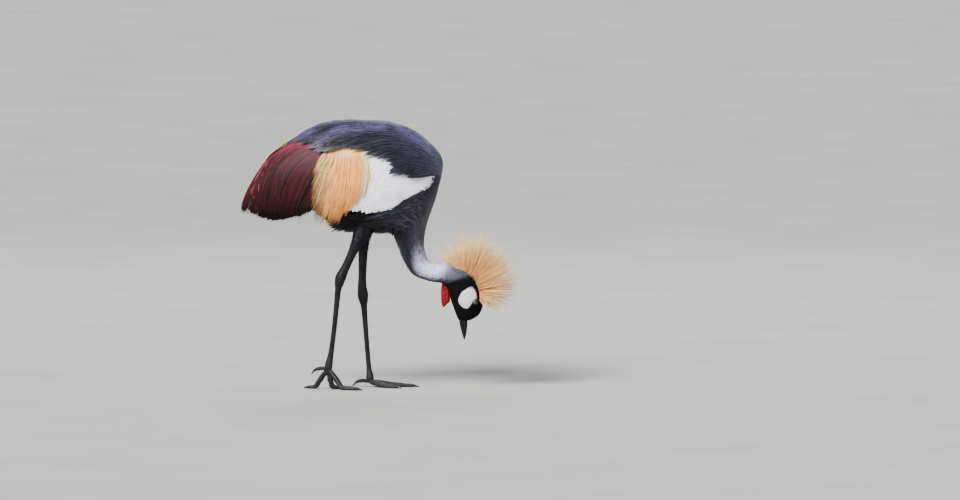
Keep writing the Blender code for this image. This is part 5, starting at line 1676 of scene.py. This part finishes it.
lines = glide(body_form, *places, levels(count, 15, 0.55, 0.80, 0.92, 0.96))
half_width = (0.0070 + 0.0020 * (1 - rise))[:, None] * outline(15, 0.68, 0.50)
half_width = half_width * np.clip(reach / 0.035, 0.45, 1.0)[:, None]
front_x, front_z = np.transpose(GOLD_FRONT)
past = np.interp(lines[0][..., 2], front_z, front_x) - lines[0][..., 0]
tint = blend(COVERT_WHITE, COVERT_CREAM, smooth(-0.014, 0.010, past))
tint = tint * draw.uniform(0.97, 1.02, (count, 1, 1))
white = plumage("white_feathers", 0.60, 0.10, 0.0, 0.0, 0.06, 50.0, 24.0)
roll = -0.03 * side
lay(
    "white_coverts", flat_feather(4, 14), lines, half_width, tint, white, "wing_feathers",
    camber=0.10, roll=roll,
)


# The gold plumes: long hair-like feathers that hang from the upper coverts across the closed wing. They are
# parted and straw-gold behind, smooth and orange in front, and fade into the white.

PLUMES = 3400
PLUME_ROOT_LINE = [(-0.114, 0.561), (-0.103, 0.569), (-0.084, 0.573), (-0.060, 0.570), (-0.034, 0.560)]
PLUME_TIP_LINE = [
    (-0.1510, 0.492), (-0.1545, 0.455), (-0.1545, 0.424), (-0.1480, 0.400), (-0.1320, 0.386),
    (-0.1060, 0.383), (-0.0860, 0.402), (-0.0700, 0.419), (-0.0540, 0.437), (-0.0360, 0.460),
]
PLUME_HALF_WIDTH = (0.0007, 0.0018)
PLUME_GOLD = (1.0, 0.40, 0.090)
PLUME_STRAW = (0.80, 0.45, 0.160)
PLUME_CREAM = (0.93, 0.72, 0.42)
PLUME_BROWN = (0.045, 0.022, 0.012)
PLUME_SHADOW = (0.20, 0.10, 0.045)
BUNDLES = 40
FAR_PLUMES = 380
FAR_HALF_WIDTH = (0.0007, 0.0017)
FAR_CREAM = (0.92, 0.74, 0.46)
FAR_STRAW = (0.86, 0.52, 0.20)

draw = np.random.default_rng(67)
share = draw.random(PLUMES)
side = either_side(draw, PLUMES)
bundle = (np.floor(share * BUNDLES) + 0.5) / BUNDLES
rear = 1 - smooth(0.20, 0.60, share)
drawn = share + (bundle - share) * 0.75 * rear
short = draw.random(PLUMES) ** 1.6
root_spot = along_curve(PLUME_ROOT_LINE, share * (len(PLUME_ROOT_LINE) - 1))
tip_spot = along_curve(PLUME_TIP_LINE, drawn * (len(PLUME_TIP_LINE) - 1))
tip_spot[:, 1] += 0.006 * draw.normal(0, 1, PLUMES) + 0.013 * np.sin(bundle * 71) * rear
down = 1 - 0.50 * short
start_low = 0.35 * draw.random(PLUMES) * short
places = []
for amount in (start_low, (start_low + down) / 2, down):
    bulge = 0.010 * np.sin(np.clip(amount, 0, 1) * math.pi) * smooth(0.3, 0.8, share)
    x = between((root_spot[:, 0], tip_spot[:, 0]), amount**1.15) + bulge
    places.append(seen(x, between((root_spot[:, 1], tip_spot[:, 1]), amount)))
top = draw.uniform(1.05, 1.30, PLUMES)
heights = levels(PLUMES, 11, 0.60, 0.90, top, top + 0.06, top)
lines = stray(glide(body_form, *on_side(side, *places), heights), draw, 0.0022, 0.0012)
half_width = widths(draw, PLUME_HALF_WIDTH, PLUMES, 11, 0.35, 0.9)
tint = blend(PLUME_STRAW, PLUME_GOLD, smooth(0.25, 0.60, share))
tint = blend(tint, PLUME_CREAM, smooth(0.86, 1.0, share + 0.02 * draw.normal(0, 1, PLUMES)))
shadowed = 0.85 * (draw.random(PLUMES) < 0.36) * rear
tint = mottled(draw, blend(tint, PLUME_SHADOW, shadowed), (0.82, 1.06), 11)
v = np.linspace(0, 1, 11)[None, :] + np.zeros((PLUMES, 1))
tint = blend(tint * (1.10 - 0.20 * v[..., None]), PLUME_CREAM, 0.6 * (1 - smooth(0.05, 0.35, v)))
tint = blend(tint, PLUME_BROWN, 0.9 * smooth(0.70, 1.0, v) * (rear * down > 0.40)[:, None])
gold = plumage("gold_plumes", 0.50, 0.12, 0.0, 0.0, 0.22, 60.0, 8.0, (1.0, 0.85, 0.6))
lay("gold_plumes", flat_feather(2, 8), lines, half_width, tint, gold, "wing_feathers", camber=0.3)

# The straw plumes of the far wing, which lie higher and show along the ridge behind the back
draw.random(FAR_PLUMES)  # passed over, before the draws of the far plumes
root_t = 3.9 - 0.6 * draw.random(FAR_PLUMES)
tip_t = 1.3 + 1.6 * draw.random(FAR_PLUMES) ** 1.2
turn = -np.clip(0.28 + 0.20 * draw.normal(0, 1, FAR_PLUMES), 0.02, 0.85)
fanned_out = turn * draw.uniform(1.1, 1.8, FAR_PLUMES)
heights = levels(FAR_PLUMES, 11, -0.3, 0.9, 2.0, 1.8)
bend = ((root_t + tip_t) / 2, turn)
centres, outs, roots = glide(body_form, (root_t, turn * 0.9), bend, (tip_t, fanned_out), heights)
arch = np.sin(np.clip(np.linspace(-0.4, 1, 11), 0, 1) * math.pi)[None, :, None] * 0.0055
lines = stray((centres + np.array([0.0, 0.0, 1.0]) * arch, outs, roots), draw, 0.005, 0.001)
half_width = widths(draw, FAR_HALF_WIDTH, FAR_PLUMES, 11, 0.4, 0.8)
tint = blend(FAR_CREAM, FAR_STRAW, draw.random(FAR_PLUMES) ** 2)
tint = mottled(draw, tint, (0.7, 1.08), 11)
lay("far_plumes", flat_feather(2, 8), lines, half_width, tint, gold, "wing_feathers", camber=0.3)


# The studio: a plain pale floor, soft lights from above and both sides, and a long lens at the photograph's
# height and side. None of it belongs to the crane.

FLOOR_HALF = 40.0
FLOOR_PALE = ((0.35, 0.35, 0.338), (0.385, 0.385, 0.372))
SKY = (0.90, 0.94, 1.0, 1.0)
SKY_STRENGTH = 0.32
LIT_PLACE = Vector((0.0, 0.0, 0.35))
CAMERA_DISTANCE = 23.0
CAMERA_RISE = math.radians(4.0)
CAMERA_LENS = 375.0
CAMERA_WIDTH = 36.0
CAMERA_END = 200.0
VIEW_CENTRE = Vector((0.232, 0.0, 0.319))

mesh = bmesh.new()
bmesh.ops.create_grid(mesh, x_segments=8, y_segments=8, size=FLOOR_HALF)
floor = placed("floor", meshed("floor", mesh))
plaster, tree, place = begin("pale_floor", 0.85, 0.2)
pale = mixed(tree, ramped(tree, noise(tree, place, 3.0, 4.0), 0.3, 0.7), *FLOOR_PALE)
floor.data.materials.append(
    finished(plaster, pale, height=noise(tree, place, 160.0), distance=0.0006, strength=0.3)
)

# Name, kind, place, softness and power of each lamp: an even key from the upper left, a weak fill and a rim
LAMPS = [
    ("key_lamp", "SUN", (-1.8, -2.8, 3.1), 0.45, 9.0),
    ("fill_lamp", "AREA", (2.8, -3.4, 1.6), 2.8, 40.0),
    ("rim_lamp", "AREA", (0.2, 3.2, 3.2), 2.4, 90.0),
]
for name, kind, place, softness, power in LAMPS:
    light = bpy.data.lights.new(name, kind)
    light.energy = power
    setattr(light, "angle" if kind == "SUN" else "size", softness)
    lamp = placed(name, light)
    lamp.location = place
    lamp.rotation_euler = (LIT_PLACE - Vector(place)).to_track_quat("-Z", "Y").to_euler()
world = bpy.data.worlds.new("studio_air")
world.use_nodes = True
world.node_tree.nodes["Background"].inputs["Color"].default_value = SKY
world.node_tree.nodes["Background"].inputs["Strength"].default_value = SKY_STRENGTH
bpy.context.scene.world = world

lens = bpy.data.cameras.new("camera")
lens.lens = CAMERA_LENS
lens.sensor_width = CAMERA_WIDTH
lens.clip_end = CAMERA_END
camera = placed("camera", lens)
away = Vector((0.0, -math.cos(CAMERA_RISE), math.sin(CAMERA_RISE)))
camera.location = VIEW_CENTRE + away * CAMERA_DISTANCE
camera.rotation_euler = (-away).to_track_quat("-Z", "Y").to_euler()
bpy.context.scene.camera = camera
